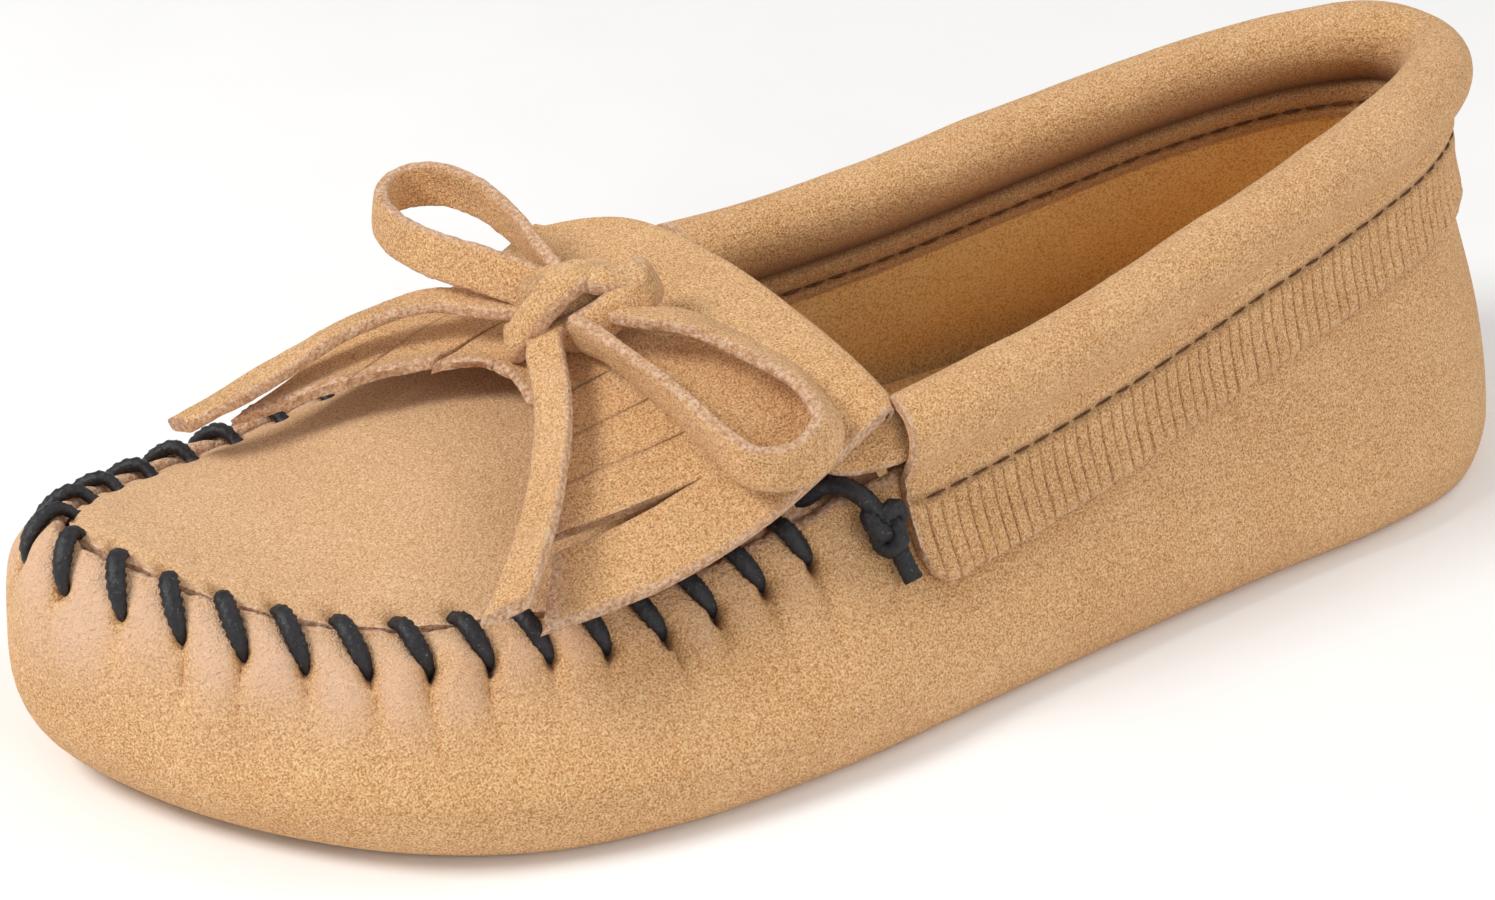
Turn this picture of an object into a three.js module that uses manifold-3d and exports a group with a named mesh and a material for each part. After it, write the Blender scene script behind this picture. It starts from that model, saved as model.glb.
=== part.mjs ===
// A soft-soled suede moccasin for the left foot. One wrap of leather forms the bottom and the sides, and
// a black waxed cord whips it to a U-shaped plug over the toes. A rolled collar with a finely cut skirt
// runs round the opening, and a fringed flap folds forward over the tongue under a leather bow.
//
// Millimetres. +Z is up, the toe points to -Y, the heel to +Y and the outer side of the foot to +X.
// The sole rests on z = 0.
import * as THREE from "three";
import { mergeVertices } from "three/addons/utils/BufferGeometryUtils.js";
import Module from "manifold-3d";

const wasm = await Module();
wasm.setup();

// ---- Driving dimensions ----
const LENGTH = 255; // toe to heel over the leather
const WIDTH = 104; // across the ball of the foot
const HEIGHT = 66; // floor to the top of the collar at the heel
const WRAP_THICK = 2.0;
const PLUG_THICK = 1.8;
const FLAP_THICK = 1.8;
const COLLAR_THICK = 1.5;
const SKIRT_DROP = 21.2; // the roll's centre down to the skirt's cut edge
const FACING_DROP = 12.8; // the roll's centre down to the facing's edge inside
const COLLAR_STITCH_DROP = 10.2;
const CORD_DIAMETER = 3.0; // black lacing cord
const STITCH_PITCH = 8;
const STITCH_LENGTH = 9.4; // from a stitch's hole in the plug to its hole in the wrap
const LACE_WIDTH = 7;
const LACE_THICK = 2.4;
const TUNNEL_ROOM = 0.5; // round the lace in the rolled edge
const THREAD_DIAMETER = 1.0;
const PAD_THICK = 3.0;
const SOCK_THICK = 1.2;
const CLEAR = 0.4; // gap between pieces that touch
const HOLE_CLEAR = 0.35; // gap round a cord in its hole
const HOLE_LAND = 1.15; // leather left between a hole and the edge
const SLIT_WIDTH = 0.9; // cuts between the strips of the fringe
const EDGE_MARGIN = WRAP_THICK / 2 + CLEAR; // insole in from the flat sole's edge, past the inner curve

// The plug's hole in from the wrap's edge.
const STITCH_INSET = CORD_DIAMETER / 2 + HOLE_CLEAR + HOLE_LAND;
// The rolled edge is as small as the lace inside it allows, measured outside.
const ROLL_RADIUS = Math.hypot(LACE_WIDTH, LACE_THICK) / 2 + TUNNEL_ROOM + COLLAR_THICK;

// The stations below are written for this last, and every size above stretches or shrinks them.
const LAST = { length: 255, width: 104, height: 66, midX: 5.1, midY: 1.25 };
const at = (x, y, z) =>
  new THREE.Vector3(
    ((x - LAST.midX) * WIDTH) / LAST.width,
    ((y - LAST.midY) * LENGTH) / LAST.length,
    (z * HEIGHT) / LAST.height,
  );

// ---- Outline of the wrap ----
// Round the foot from the toe, along the outer side, round the heel and back along the inner side. Each
// station gives the top edge, the widest point and the edge of the flat sole, then the top edge's lean in
// degrees and how straight the side runs up: 0 bulges, 1 is flat.
const STATIONS = [
  { top: [-3, -117, 37], wide: [-2, -125, 17], foot: [-3, -110.5], lean: 62, flat: 0 },
  { top: [8, -111.5, 35], wide: [14, -119.5, 14], foot: [12, -106], lean: 58, flat: 0 },
  { top: [19.5, -101, 31.5], wide: [31, -108, 11.5], foot: [27, -97], lean: 56, flat: 0 },
  { top: [29, -85, 28], wide: [46, -91.5, 10.5], foot: [40.5, -84.5], lean: 54, flat: 0.05 },
  { top: [34, -66, 27], wide: [54.5, -71.5, 10], foot: [49.8, -69.5], lean: 52, flat: 0.1 },
  { top: [35.8, -48, 26], wide: [57, -50, 9.5], foot: [53, -50], lean: 48, flat: 0.2 },
  { top: [35.5, -31, 28.8], wide: [56, -32, 9], foot: [52.5, -32], lean: 40, flat: 0.4 },
  { top: [35.6, -16, 32.6], wide: [54, -17, 9], foot: [50.7, -17], lean: 26, flat: 0.6 },
  { top: [36, -4, 35], wide: [51.5, -4, 9], foot: [48.2, -4], lean: 12, flat: 0.8 },
  { top: [31.9, 26, 39], wide: [46, 26, 9], foot: [42.7, 26], lean: 10, flat: 0.9 },
  { top: [25.5, 58.5, 45.5], wide: [41, 58, 9], foot: [37.5, 58], lean: 10, flat: 1 },
  { top: [19.4, 84.8, 50.5], wide: [37.5, 85, 9], foot: [34, 85], lean: 10, flat: 1 },
  { top: [11.7, 105.2, 53.5], wide: [29.8, 106, 6.5], foot: [28.2, 105], lean: 8, flat: 0.6 },
  { top: [2.7, 116.5, 54.5], wide: [14.8, 121, 6], foot: [14, 119], lean: 6, flat: 0.35 },
  { top: [-5.5, 120, 54.5], wide: [-4, 126.5, 6.5], foot: [-4, 124.2], lean: 6, flat: 0.35 },
  { top: [-14.2, 116.8, 54.5], wide: [-26, 121.5, 6], foot: [-24.8, 119.5], lean: 6, flat: 0.35 },
  { top: [-22.2, 105.2, 52.6], wide: [-39.5, 107, 6.5], foot: [-37.8, 105.8], lean: 8, flat: 0.6 },
  { top: [-26.5, 84.6, 49.5], wide: [-43, 84, 9], foot: [-39.5, 84], lean: 10, flat: 1 },
  { top: [-29, 58.3, 44.5], wide: [-42, 58, 9], foot: [-38.5, 58], lean: 10, flat: 1 },
  { top: [-31.1, 26, 38.4], wide: [-40, 26, 9], foot: [-36.5, 26], lean: 10, flat: 0.9 },
  { top: [-33, -4, 35], wide: [-41, -4, 9.5], foot: [-37, -4], lean: 12, flat: 0.8 },
  { top: [-31.5, -16, 35.8], wide: [-43, -17, 9.5], foot: [-39, -17], lean: 26, flat: 0.6 },
  { top: [-32.5, -31, 36], wide: [-45, -32, 10], foot: [-41, -32], lean: 40, flat: 0.4 },
  { top: [-33.5, -48, 35.2], wide: [-46.5, -50, 11], foot: [-42, -50], lean: 48, flat: 0.2 },
  { top: [-32.5, -66, 33], wide: [-46.5, -69, 13], foot: [-41.5, -68], lean: 52, flat: 0.1 },
  { top: [-29, -84, 30.8], wide: [-43.5, -88, 15.5], foot: [-37.5, -84], lean: 54, flat: 0.05 },
  { top: [-23, -99.5, 32], wide: [-34.5, -106, 18], foot: [-29, -98], lean: 56, flat: 0 },
  { top: [-14, -111, 35.3], wide: [-19, -119, 18], foot: [-16.5, -106.5], lean: 58, flat: 0 },
];
const COUNT = STATIONS.length;
const THROAT_OUTER = 8; // station where the collar starts on the outer side
const THROAT_INNER = 20; // and where it ends on the inner side
const WIDE_ROW = 0.3; // share of the profile that lies below the widest point
const SIDE_REACH = 0.42; // how far the side's curve follows the top edge's lean
const SIDE_HEIGHT = 0.4; // where the side's belly stands between the widest point and the top edge
const SIDE_DRAW = 0.35; // how much a flat side draws the belly in

const loop = (points) => new THREE.CatmullRomCurve3(points, true, "centripetal");
const topEdge = loop(STATIONS.map((s) => at(...s.top)));
const wideLine = loop(STATIONS.map((s) => at(...s.wide)));
const footLine = loop(STATIONS.map((s) => at(...s.foot, 0)));
const leanLine = loop(STATIONS.map((s) => new THREE.Vector3(s.lean, s.flat, 0)));
const station = (k) => (((k % COUNT) + COUNT) % COUNT) / COUNT;

// A point on the outside of the wrap: k counts stations and v runs from the sole's edge to the top edge.
function wallPoint(k, v) {
  const u = station(k);
  const wide = wideLine.getPoint(u);
  const foot = footLine.getPoint(u);
  if (v <= WIDE_ROW) {
    const turn = (v / WIDE_ROW) * (Math.PI / 2);
    return new THREE.Vector3(
      foot.x + (wide.x - foot.x) * Math.sin(turn),
      foot.y + (wide.y - foot.y) * Math.sin(turn),
      wide.z * (1 - Math.cos(turn)),
    );
  }
  const top = topEdge.getPoint(u);
  const shape = leanLine.getPoint(u);
  const lean = THREE.MathUtils.degToRad(shape.x);
  const inward = new THREE.Vector3(top.x - wide.x, top.y - wide.y, 0).normalize();
  const reach = SIDE_REACH * top.distanceTo(wide);
  const low = wide.clone().lerp(top, SIDE_DRAW * shape.y);
  low.z = wide.z + SIDE_HEIGHT * (top.z - wide.z);
  const high = top.clone().addScaledVector(inward, -reach * Math.sin(lean));
  high.z -= reach * Math.cos(lean);
  const side = new THREE.CubicBezierCurve3(wide, low, high, top);
  return side.getPoint((v - WIDE_ROW) / (1 - WIDE_ROW));
}

// The wrap's outward normal, and a point that stands off the outside by some distance.
function wallNormal(k, v) {
  const dk = 0.05;
  const dv = 0.01;
  const along = wallPoint(k + dk, v).sub(wallPoint(k - dk, v));
  const up = wallPoint(k, Math.min(1, v + dv)).sub(wallPoint(k, Math.max(0, v - dv)));
  return along.cross(up).normalize();
}
const offWall = (k, v, out) => wallPoint(k, v).addScaledVector(wallNormal(k, v), out);

// The profile position whose height is z, by halving.
function rowAtHeight(k, z) {
  let low = WIDE_ROW;
  let high = 1;
  for (let i = 0; i < 24; i++) {
    const middle = (low + high) / 2;
    if (wallPoint(k, middle).z < z) low = middle;
    else high = middle;
  }
  return (low + high) / 2;
}

// ---- Geometry helpers ----
// Merged vertices, without the triangles that have collapsed.
function cleaned(geometry) {
  geometry.deleteAttribute("normal");
  geometry.deleteAttribute("uv");
  const merged = mergeVertices(geometry, 1e-3);
  const index = [];
  for (let i = 0; i < merged.index.count; i += 3) {
    const [a, b, c] = [0, 1, 2].map((j) => merged.index.getX(i + j));
    if (a !== b && b !== c && c !== a) index.push(a, b, c);
  }
  merged.setIndex(index);
  return merged;
}

const toSolid = (geometry) =>
  new wasm.Manifold(
    new wasm.Mesh({
      numProp: 3,
      vertProperties: new Float32Array(geometry.attributes.position.array),
      triVerts: new Uint32Array(geometry.index.array),
    }),
  );

function toGeometry(solid) {
  const mesh = solid.getMesh();
  const geometry = new THREE.BufferGeometry();
  const position = new Float32Array(mesh.numVert * 3);
  for (let i = 0; i < mesh.numVert; i++) {
    position.set(mesh.vertProperties.subarray(i * mesh.numProp, i * mesh.numProp + 3), i * 3);
  }
  geometry.setAttribute("position", new THREE.BufferAttribute(position, 3));
  geometry.setIndex(new THREE.BufferAttribute(mesh.triVerts, 1));
  return geometry;
}

const cut = (geometry, ...tools) =>
  toGeometry(tools.reduce((s, tool) => s.subtract(toSolid(tool)), toSolid(geometry)));

function fromRows(quads) {
  const geometry = new THREE.BufferGeometry();
  const position = [];
  for (const [a, b, c, d] of quads) {
    for (const p of [a, b, c, a, c, d]) position.push(p.x, p.y, p.z);
  }
  geometry.setAttribute("position", new THREE.Float32BufferAttribute(position, 3));
  return outwards(cleaned(geometry));
}

// Turns every face round if the solid would be inside out.
function outwards(geometry) {
  const p = geometry.attributes.position;
  const [a, b, c] = [new THREE.Vector3(), new THREE.Vector3(), new THREE.Vector3()];
  let volume = 0;
  for (let i = 0; i < geometry.index.count; i += 3) {
    a.fromBufferAttribute(p, geometry.index.getX(i));
    b.fromBufferAttribute(p, geometry.index.getX(i + 1));
    c.fromBufferAttribute(p, geometry.index.getX(i + 2));
    volume += a.dot(b.cross(c));
  }
  if (volume < 0) geometry.setIndex([...geometry.index.array].reverse());
  return geometry;
}

// A sheet between two surfaces that share their corners: face and back are functions of i and j.
function sheet(columns, rows, face, back) {
  const quads = [];
  const front = (i, j) => face(i / columns, j / rows);
  const rear = (i, j) => back(i / columns, j / rows);
  for (let i = 0; i < columns; i++) {
    for (let j = 0; j < rows; j++) {
      quads.push([front(i, j), front(i + 1, j), front(i + 1, j + 1), front(i, j + 1)]);
      quads.push([rear(i, j), rear(i, j + 1), rear(i + 1, j + 1), rear(i + 1, j)]);
    }
    quads.push([front(i, 0), rear(i, 0), rear(i + 1, 0), front(i + 1, 0)]);
    quads.push([front(i, rows), front(i + 1, rows), rear(i + 1, rows), rear(i, rows)]);
  }
  for (let j = 0; j < rows; j++) {
    quads.push([front(0, j), front(0, j + 1), rear(0, j + 1), rear(0, j)]);
    quads.push([front(columns, j), rear(columns, j), rear(columns, j + 1), front(columns, j + 1)]);
  }
  return fromRows(quads);
}

// A round cord along points.
function cord(points, diameter, sides, steps) {
  const path = new THREE.CatmullRomCurve3(points, false, "centripetal");
  const section = new THREE.Shape(new THREE.EllipseCurve(0, 0, diameter / 2, diameter / 2)
    .getPoints(sides).slice(0, sides));
  const options = { steps, extrudePath: path, bevelEnabled: false };
  return outwards(cleaned(new THREE.ExtrudeGeometry(section, options)));
}

// A flat leather lace along points. Its broad side faces the direction that `faces` gives for each point.
function lace(points, faces, steps) {
  const path = new THREE.CatmullRomCurve3(points, false, "centripetal");
  const facing = new THREE.CatmullRomCurve3(faces, false, "centripetal");
  const corner = (t, side, height) => {
    const tangent = path.getTangent(t);
    const across = tangent.clone().cross(facing.getPoint(t)).normalize();
    const up = across.clone().cross(tangent).normalize();
    return path
      .getPoint(t)
      .addScaledVector(across, (side - 0.5) * LACE_WIDTH)
      .addScaledVector(up, height * LACE_THICK);
  };
  return sheet(1, steps, (s, t) => corner(t, s, 0.5), (s, t) => corner(t, s, -0.5));
}

// ---- Wrap ----
const WRAP_COLUMNS = 70;
const WRAP_ROWS = 7;
const columnStation = (i) => (i * COUNT) / WRAP_COLUMNS;
function wrapShell() {
  const quads = [];
  const outer = (i, j) => wallPoint(columnStation(i), j / WRAP_ROWS);
  const inner = (i, j) => offWall(columnStation(i), j / WRAP_ROWS, -WRAP_THICK);
  for (let i = 0; i < WRAP_COLUMNS; i++) {
    for (let j = 0; j < WRAP_ROWS; j++) {
      quads.push([outer(i, j), outer(i + 1, j), outer(i + 1, j + 1), outer(i, j + 1)]);
      quads.push([inner(i, j), inner(i, j + 1), inner(i + 1, j + 1), inner(i + 1, j)]);
    }
    const last = WRAP_ROWS;
    quads.push([outer(i, last), outer(i + 1, last), inner(i + 1, last), inner(i, last)]);
  }
  for (const [edge, flip] of [[outer, true], [inner, false]]) {
    const ring = Array.from({ length: WRAP_COLUMNS }, (_, i) => edge(i, 0));
    const flatRing = ring.map((p) => new THREE.Vector2(p.x, p.y));
    for (const [a, b, c] of THREE.ShapeUtils.triangulateShape(flatRing, [])) {
      const face = flip ? [ring[a], ring[c], ring[b]] : [ring[a], ring[b], ring[c]];
      quads.push([...face, face[0]]);
    }
  }
  return fromRows(quads);
}

// ---- Plug ----
// The plug's edge lies just inside the wrap's top edge, from the outer throat round the toe to the inner
// throat. k counts stations from -THROAT to +THROAT, with the toe at 0.
const PLUG_END = THROAT_OUTER - 0.3;
const PLUG_INSET = WRAP_THICK * 0.8 + CLEAR;
const PLUG_CROWN = 4;
const CROWN_RISE = 7; // more crown towards the throat
function seamPoint(k) {
  const point = topEdge.getPoint(station(k));
  const normal = wallNormal(k, 1);
  const inward = new THREE.Vector3(-normal.x, -normal.y, 0).normalize();
  point.addScaledVector(inward, PLUG_INSET);
  point.z -= CLEAR;
  return point;
}
// w runs from the inner side to the outer side and t from the toe to the throat.
function plugTop(w, t) {
  const k = t * PLUG_END;
  const point = seamPoint(-k).lerp(seamPoint(k), w);
  const bow = 1 - (2 * w - 1) ** 2;
  point.z += bow * (PLUG_CROWN * Math.sin(Math.min(1, t * 2.2) * (Math.PI / 2)) + CROWN_RISE * t ** 3);
  return point;
}
const below = (point, depth) => point.setZ(point.z - depth);
const plugSheet = () =>
  sheet(8, 18, plugTop, (w, t) => below(plugTop(w, t), PLUG_THICK));

// ---- Lacing round the toe seam ----
// Each turn comes up through the plug, goes straight over the edge and down through the wrap, and moves on
// to the next hole underneath.
const LACING_END = THROAT_OUTER - 1.1;
// One turn: how far it has moved on to the next stitch, how far it is across from the plug's hole to the
// wrap's hole, and whether it lies over the leather (1), in it (0) or under it (-1).
const TURN = [
  [0, 0, 0],
  [0.05, 0.12, 1],
  [0.22, 0.5, 1.2],
  [0.38, 0.88, 1],
  [0.44, 1.02, 0],
  [0.55, 0.85, -1],
  [0.82, 0.15, -1],
  [0.97, -0.02, -0.4],
];
function lacingPath() {
  const samples = 200;
  const marks = [{ k: -LACING_END, length: 0 }];
  for (let i = 1; i <= samples; i++) {
    const k = LACING_END * ((2 * i) / samples - 1);
    const last = marks.at(-1);
    const step = topEdge.getPoint(station(k)).distanceTo(topEdge.getPoint(station(last.k)));
    marks.push({ k, length: last.length + step });
  }
  const length = marks.at(-1).length;
  const stationAt = (distance) => {
    const i = Math.max(1, marks.findIndex((m) => m.length >= distance - 1e-6));
    const [a, b] = [marks[i - 1], marks[i]];
    return a.k + ((b.k - a.k) * (distance - a.length)) / (b.length - a.length);
  };
  const turns = Math.floor(length / STITCH_PITCH);
  const points = [];
  for (let i = 0; i < turns; i++) {
    for (const [move, side, height] of TURN) {
      const k = stationAt((length * (i + move)) / turns);
      const normal = wallNormal(k, 1);
      const along = wallPoint(k, 1).sub(wallPoint(k, 0.97)).normalize();
      const reach = STITCH_LENGTH * side - STITCH_INSET;
      const stand = height > 0 ? CORD_DIAMETER / 2 + CLEAR : -WRAP_THICK - CORD_DIAMETER / 2 - CLEAR;
      points.push(
        wallPoint(k, 1)
          .addScaledVector(normal, Math.abs(height) * stand - (height === 0 ? WRAP_THICK / 2 : 0))
          .addScaledVector(along, -reach),
      );
    }
  }
  return { points, turns };
}
const lacing = lacingPath();
const lacingCord = (diameter) => cord(lacing.points, diameter, 6, lacing.turns * 8);

// ---- Collar ----
// The roll's centre line stands over the wrap's top edge. One strip of leather starts as the skirt outside,
// goes up round the roll and ends as the facing inside.
const ROLL_STAND = 0.1; // the roll's outside over the wrap's top edge
const ROLL_LIFT = ROLL_RADIUS + ROLL_STAND; // the wrap's top edge up to the roll's centre
const ROLL_GAP = 42; // degrees left open on each side under the roll, for the wrap's edge
const COLLAR_LEGS = 0.25; // share of the strip in the skirt, and in the facing
const NECK_DROP = 0.6; // the legs end this far under the wrap's top edge
const COLLAR_FIRST = THROAT_OUTER - 0.15;
const COLLAR_LAST = THROAT_INNER + 0.15;
const collarStation = (s) => COLLAR_FIRST + (COLLAR_LAST - COLLAR_FIRST) * s;
function rollCentre(k) {
  const centre = offWall(k, 1, -WRAP_THICK / 2);
  centre.z += ROLL_LIFT;
  return centre;
}
// The strip's middle line at t, 0 at the skirt's edge and 1 at the facing's edge; out moves off that line.
function collarPoint(k, t, out) {
  const centre = rollCentre(k);
  const half = COLLAR_THICK / 2;
  const neck = centre.z - ROLL_LIFT - NECK_DROP;
  const legs = COLLAR_LEGS;
  if (t <= legs) {
    const z = centre.z - SKIRT_DROP + ((neck - centre.z + SKIRT_DROP) * t) / legs;
    return offWall(k, rowAtHeight(k, z), CLEAR + half + out);
  }
  if (t >= 1 - legs) {
    const z = neck - ((neck - centre.z + FACING_DROP) * (t - 1 + legs)) / legs;
    return offWall(k, rowAtHeight(k, z), -WRAP_THICK - CLEAR - half - out);
  }
  const normal = wallNormal(k, 1);
  const level = new THREE.Vector3(normal.x, normal.y, 0).normalize();
  const share = (t - legs) / (1 - 2 * legs);
  const angle = THREE.MathUtils.degToRad(-90 + ROLL_GAP + (360 - 2 * ROLL_GAP) * share);
  const radius = ROLL_RADIUS - half + out;
  centre.addScaledVector(level, radius * Math.cos(angle));
  centre.z += radius * Math.sin(angle);
  return centre;
}
const COLLAR_ROWS = 12;
const collarSheet = () =>
  sheet(
    42,
    COLLAR_ROWS,
    (s, t) => collarPoint(collarStation(s), t, COLLAR_THICK / 2),
    (s, t) => collarPoint(collarStation(s), t, -COLLAR_THICK / 2),
  );

// A thread on the collar's seam, outside at side 1 and inside at side -1.
function collarThread(side) {
  const points = [];
  const steps = 48;
  for (let i = 0; i <= steps; i++) {
    const k = collarStation(0.01 + (0.98 * i) / steps);
    const row = rowAtHeight(k, rollCentre(k).z - COLLAR_STITCH_DROP);
    const stand = CLEAR + COLLAR_THICK + CLEAR + THREAD_DIAMETER / 2;
    points.push(offWall(k, row, side > 0 ? stand : -WRAP_THICK - stand));
  }
  return cord(points, THREAD_DIAMETER, 5, steps);
}

// The lace in the roll, standing on edge in the tunnel.
function laceInCollar() {
  const steps = 40;
  const points = [];
  const faces = [];
  for (let i = 0; i <= steps; i++) {
    const k = collarStation(0.02 + (0.96 * i) / steps);
    const normal = wallNormal(k, 1);
    points.push(rollCentre(k));
    faces.push(new THREE.Vector3(normal.x, normal.y, 0).normalize());
  }
  return lace(points, faces, steps);
}

// ---- Flap with its fringe ----
// The flap starts at the fold behind the tongue and lies forward over the plug. w runs from the inner
// side to the outer side, and t from the fold to the tips of the strips.
const FOLD = [at(-39, -26, 48), at(-27, -18.4, 52), at(-8, -13, 52.6), at(12, -10.4, 51), at(27.5, -9, 48.2),
  at(36, -8, 45)];
const CREASE = [at(-34.5, -37, 45), at(-21, -31, 48.2), at(-5, -29, 49.8), at(13, -29, 48.4),
  at(28, -30, 43.5), at(40.5, -30, 35.5)];
const ROOTS = [at(-31, -59, 41.8), at(-20, -47, 45), at(-6, -42, 46.3), at(12, -42, 45), at(28, -44, 40.3),
  at(43.6, -46, 33)];
const TIPS = [at(-18, -88, 37.8), at(-14.5, -61, 42), at(-7, -50.5, 44), at(11, -50, 42), at(28, -57, 37.5),
  at(44.5, -67, 31.5)];
const flapRows = [FOLD, CREASE, ROOTS, TIPS].map((row) => new THREE.CatmullRomCurve3(row));
function flapTop(w, t) {
  return new THREE.CatmullRomCurve3(flapRows.map((row) => row.getPoint(w))).getPoint(t);
}
const flapBottom = (w, t) => below(flapTop(w, t), FLAP_THICK);
// Each cut between two strips: its place across the flap and how far down the flap it starts.
const SLITS = [[0.14, 0.6], [0.28, 0.6], [0.42, 0.6], [0.56, 0.54], [0.66, 0.47], [0.76, 0.42],
  [0.86, 0.46]];
const SLIT_END = 1.06; // past the tips, so that the cut goes right through
const SLIT_DEPTH = 8;
function slitTool([w, start]) {
  const tipStep = flapTop(w, 1).sub(flapTop(w, 0.97)).divideScalar(0.03);
  const face = (side) => (height, share) => {
    const t = start + (SLIT_END - start) * share;
    const onFlap = Math.min(1, t);
    const point = flapTop(w, onFlap).addScaledVector(tipStep, t - onFlap);
    const across = flapTop(w + 0.02, onFlap).sub(flapTop(w - 0.02, onFlap)).setZ(0).normalize();
    point.addScaledVector(across, (side * SLIT_WIDTH) / 2);
    point.z += SLIT_DEPTH * (height - 0.5);
    return point;
  };
  return sheet(1, 7, face(1), face(-1));
}
const fringedFlap = () => cut(sheet(16, 11, flapTop, flapBottom), ...SLITS.map(slitTool));

// ---- Insole ----
function solePiece(z, thick, margin) {
  const outline = new THREE.Shape();
  const steps = 56;
  const ring = Array.from({ length: steps }, (_, i) => {
    const k = (i * COUNT) / steps;
    const inward = wallNormal(k, WIDE_ROW);
    const p = wallPoint(k, 0).addScaledVector(inward, -margin);
    return new THREE.Vector2(p.x, p.y);
  });
  outline.setFromPoints(ring);
  const geometry = new THREE.ExtrudeGeometry(outline, { depth: thick, bevelEnabled: false });
  geometry.translate(0, 0, z);
  return outwards(cleaned(geometry));
}
const PAD_LEVEL = WRAP_THICK + CLEAR;
const SOCK_LEVEL = PAD_LEVEL + PAD_THICK + CLEAR;

// ---- Back seam ----
// The wrap's ends meet behind the heel in a raised seam, sewn through.
const HEEL = 14; // station at the middle of the heel
const WELT_LOW = 0.36;
const WELT_PROUD = 1.4;
const WELT_WIDTH = 3.2;
const WELT_TOP_GAP = 2; // down from the skirt's edge
const HEEL_STITCHES = 9;
const HEEL_STITCH_SIDE = 0.9; // the thread's zigzag to each side
const weltTop = () => rowAtHeight(HEEL, rollCentre(HEEL).z - SKIRT_DROP - WELT_TOP_GAP);
function heelWelt() {
  const row = (t) => WELT_LOW + (weltTop() - WELT_LOW) * t;
  const place = (s, t, out) => {
    const p = offWall(HEEL, row(t), out);
    p.x += (s - 0.5) * WELT_WIDTH;
    return p;
  };
  return sheet(2, 8, (s, t) => place(s, t, CLEAR + WELT_PROUD), (s, t) => place(s, t, CLEAR));
}
function heelThread() {
  const points = [];
  const rows = HEEL_STITCHES * 2;
  const stand = CLEAR + WELT_PROUD + CLEAR + THREAD_DIAMETER / 2;
  for (let i = 0; i <= rows; i++) {
    const t = 0.05 + (0.9 * i) / rows;
    const p = offWall(HEEL, WELT_LOW + (weltTop() - WELT_LOW) * t, stand);
    p.x += (i % 2 ? 1 : -1) * HEEL_STITCH_SIDE;
    points.push(p);
  }
  return cord(points, THREAD_DIAMETER, 5, rows * 2);
}

// ---- Knotted ends of the lacing ----
const END_STATION = 0.55; // from the throat towards the toe
const END_ROW = 0.88;
function lacingEnd(side) {
  const k = side > 0 ? THROAT_OUTER - END_STATION : THROAT_INNER + END_STATION;
  const stand = CORD_DIAMETER * 0.5 + CLEAR;
  const knotCentre = offWall(k, END_ROW, CORD_DIAMETER + CLEAR);
  const knot = new THREE.IcosahedronGeometry(CORD_DIAMETER, 1);
  knot.scale(1, 1.15, 0.9);
  knot.translate(knotCentre.x, knotCentre.y, knotCentre.z);
  const points = [
    knotCentre.clone(),
    offWall(k + side * 0.08, 0.8, stand + 1.2),
    offWall(k + side * 0.14, 0.72, stand + 0.6),
    offWall(k + side * 0.18, 0.64, stand + 0.6),
  ];
  const tail = cord(points, CORD_DIAMETER, 6, 8);
  return toGeometry(toSolid(outwards(cleaned(knot))).add(toSolid(tail)));
}

// ---- Lace leads and bow ----
// Each lead comes out of the collar's end and lies under the flap.
const LEAD_ROOM = 0.7;
const MOUTH_TILT = 0.5; // how far the lace has turned up where it leaves the collar
function lead(mouthStation, spots) {
  const points = [rollCentre(mouthStation)];
  const faces = [wallNormal(mouthStation, 1).add(new THREE.Vector3(0, 0, MOUTH_TILT))];
  for (const [w, t] of spots) {
    const across = flapTop(w + 0.01, t).sub(flapTop(w - 0.01, t));
    const along = flapTop(w, t + 0.01).sub(flapTop(w, t - 0.01));
    const normal = along.cross(across).normalize();
    points.push(flapBottom(w, t).addScaledVector(normal, -CLEAR - LEAD_ROOM - LACE_THICK / 2));
    faces.push(normal);
  }
  return lace(points, faces, 10);
}
const leadOuter = () => lead(COLLAR_FIRST - 0.06, [[0.84, 0.14], [0.7, 0.24], [0.58, 0.3]]);
const leadInner = () => lead(COLLAR_LAST + 0.06, [[0.2, 0.1], [0.32, 0.2], [0.42, 0.28]]);

// The knot and loops are one size whatever the last's: their points are measured from the knot's middle.
// The tails lie along the flap and stretch with it.
const KNOT_ON_LAST = new THREE.Vector3(-1, -37.5, 53.8);
const KNOT_HALF = new THREE.Vector3(8, 6.5, 5);
function bowKnot() {
  const knot = new THREE.IcosahedronGeometry(1, 2);
  knot.scale(...KNOT_HALF);
  const place = at(...KNOT_ON_LAST);
  knot.translate(place.x, place.y, place.z);
  return outwards(cleaned(knot));
}
const vectors = (list) => list.map((p) => new THREE.Vector3(...p));
const route = (list) =>
  list.map((p) => new THREE.Vector3(...p).sub(KNOT_ON_LAST).add(at(...KNOT_ON_LAST)));
const onLast = (list) => list.map((p) => at(...p));
const loopInner = () =>
  lace(
    route([[-9.8, -38.5, 57], [-19.5, -38, 58], [-31, -38.5, 58.6], [-38.5, -42, 58.8], [-40.5, -47, 58.4],
      [-37, -52, 58], [-28, -54, 57.6], [-19, -51.5, 57], [-12, -47, 56.4]]),
    vectors([[0.1, 1, -0.1], [0.1, 1, -0.15], [-0.1, 1, -0.1], [-0.7, 0.7, 0], [-1, -0.1, 0],
      [-0.7, -0.8, 0.1],
      [0, -1, 0.2], [0.4, -1, 0.3], [0.4, -1, 0.4]]),
    20,
  );
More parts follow.
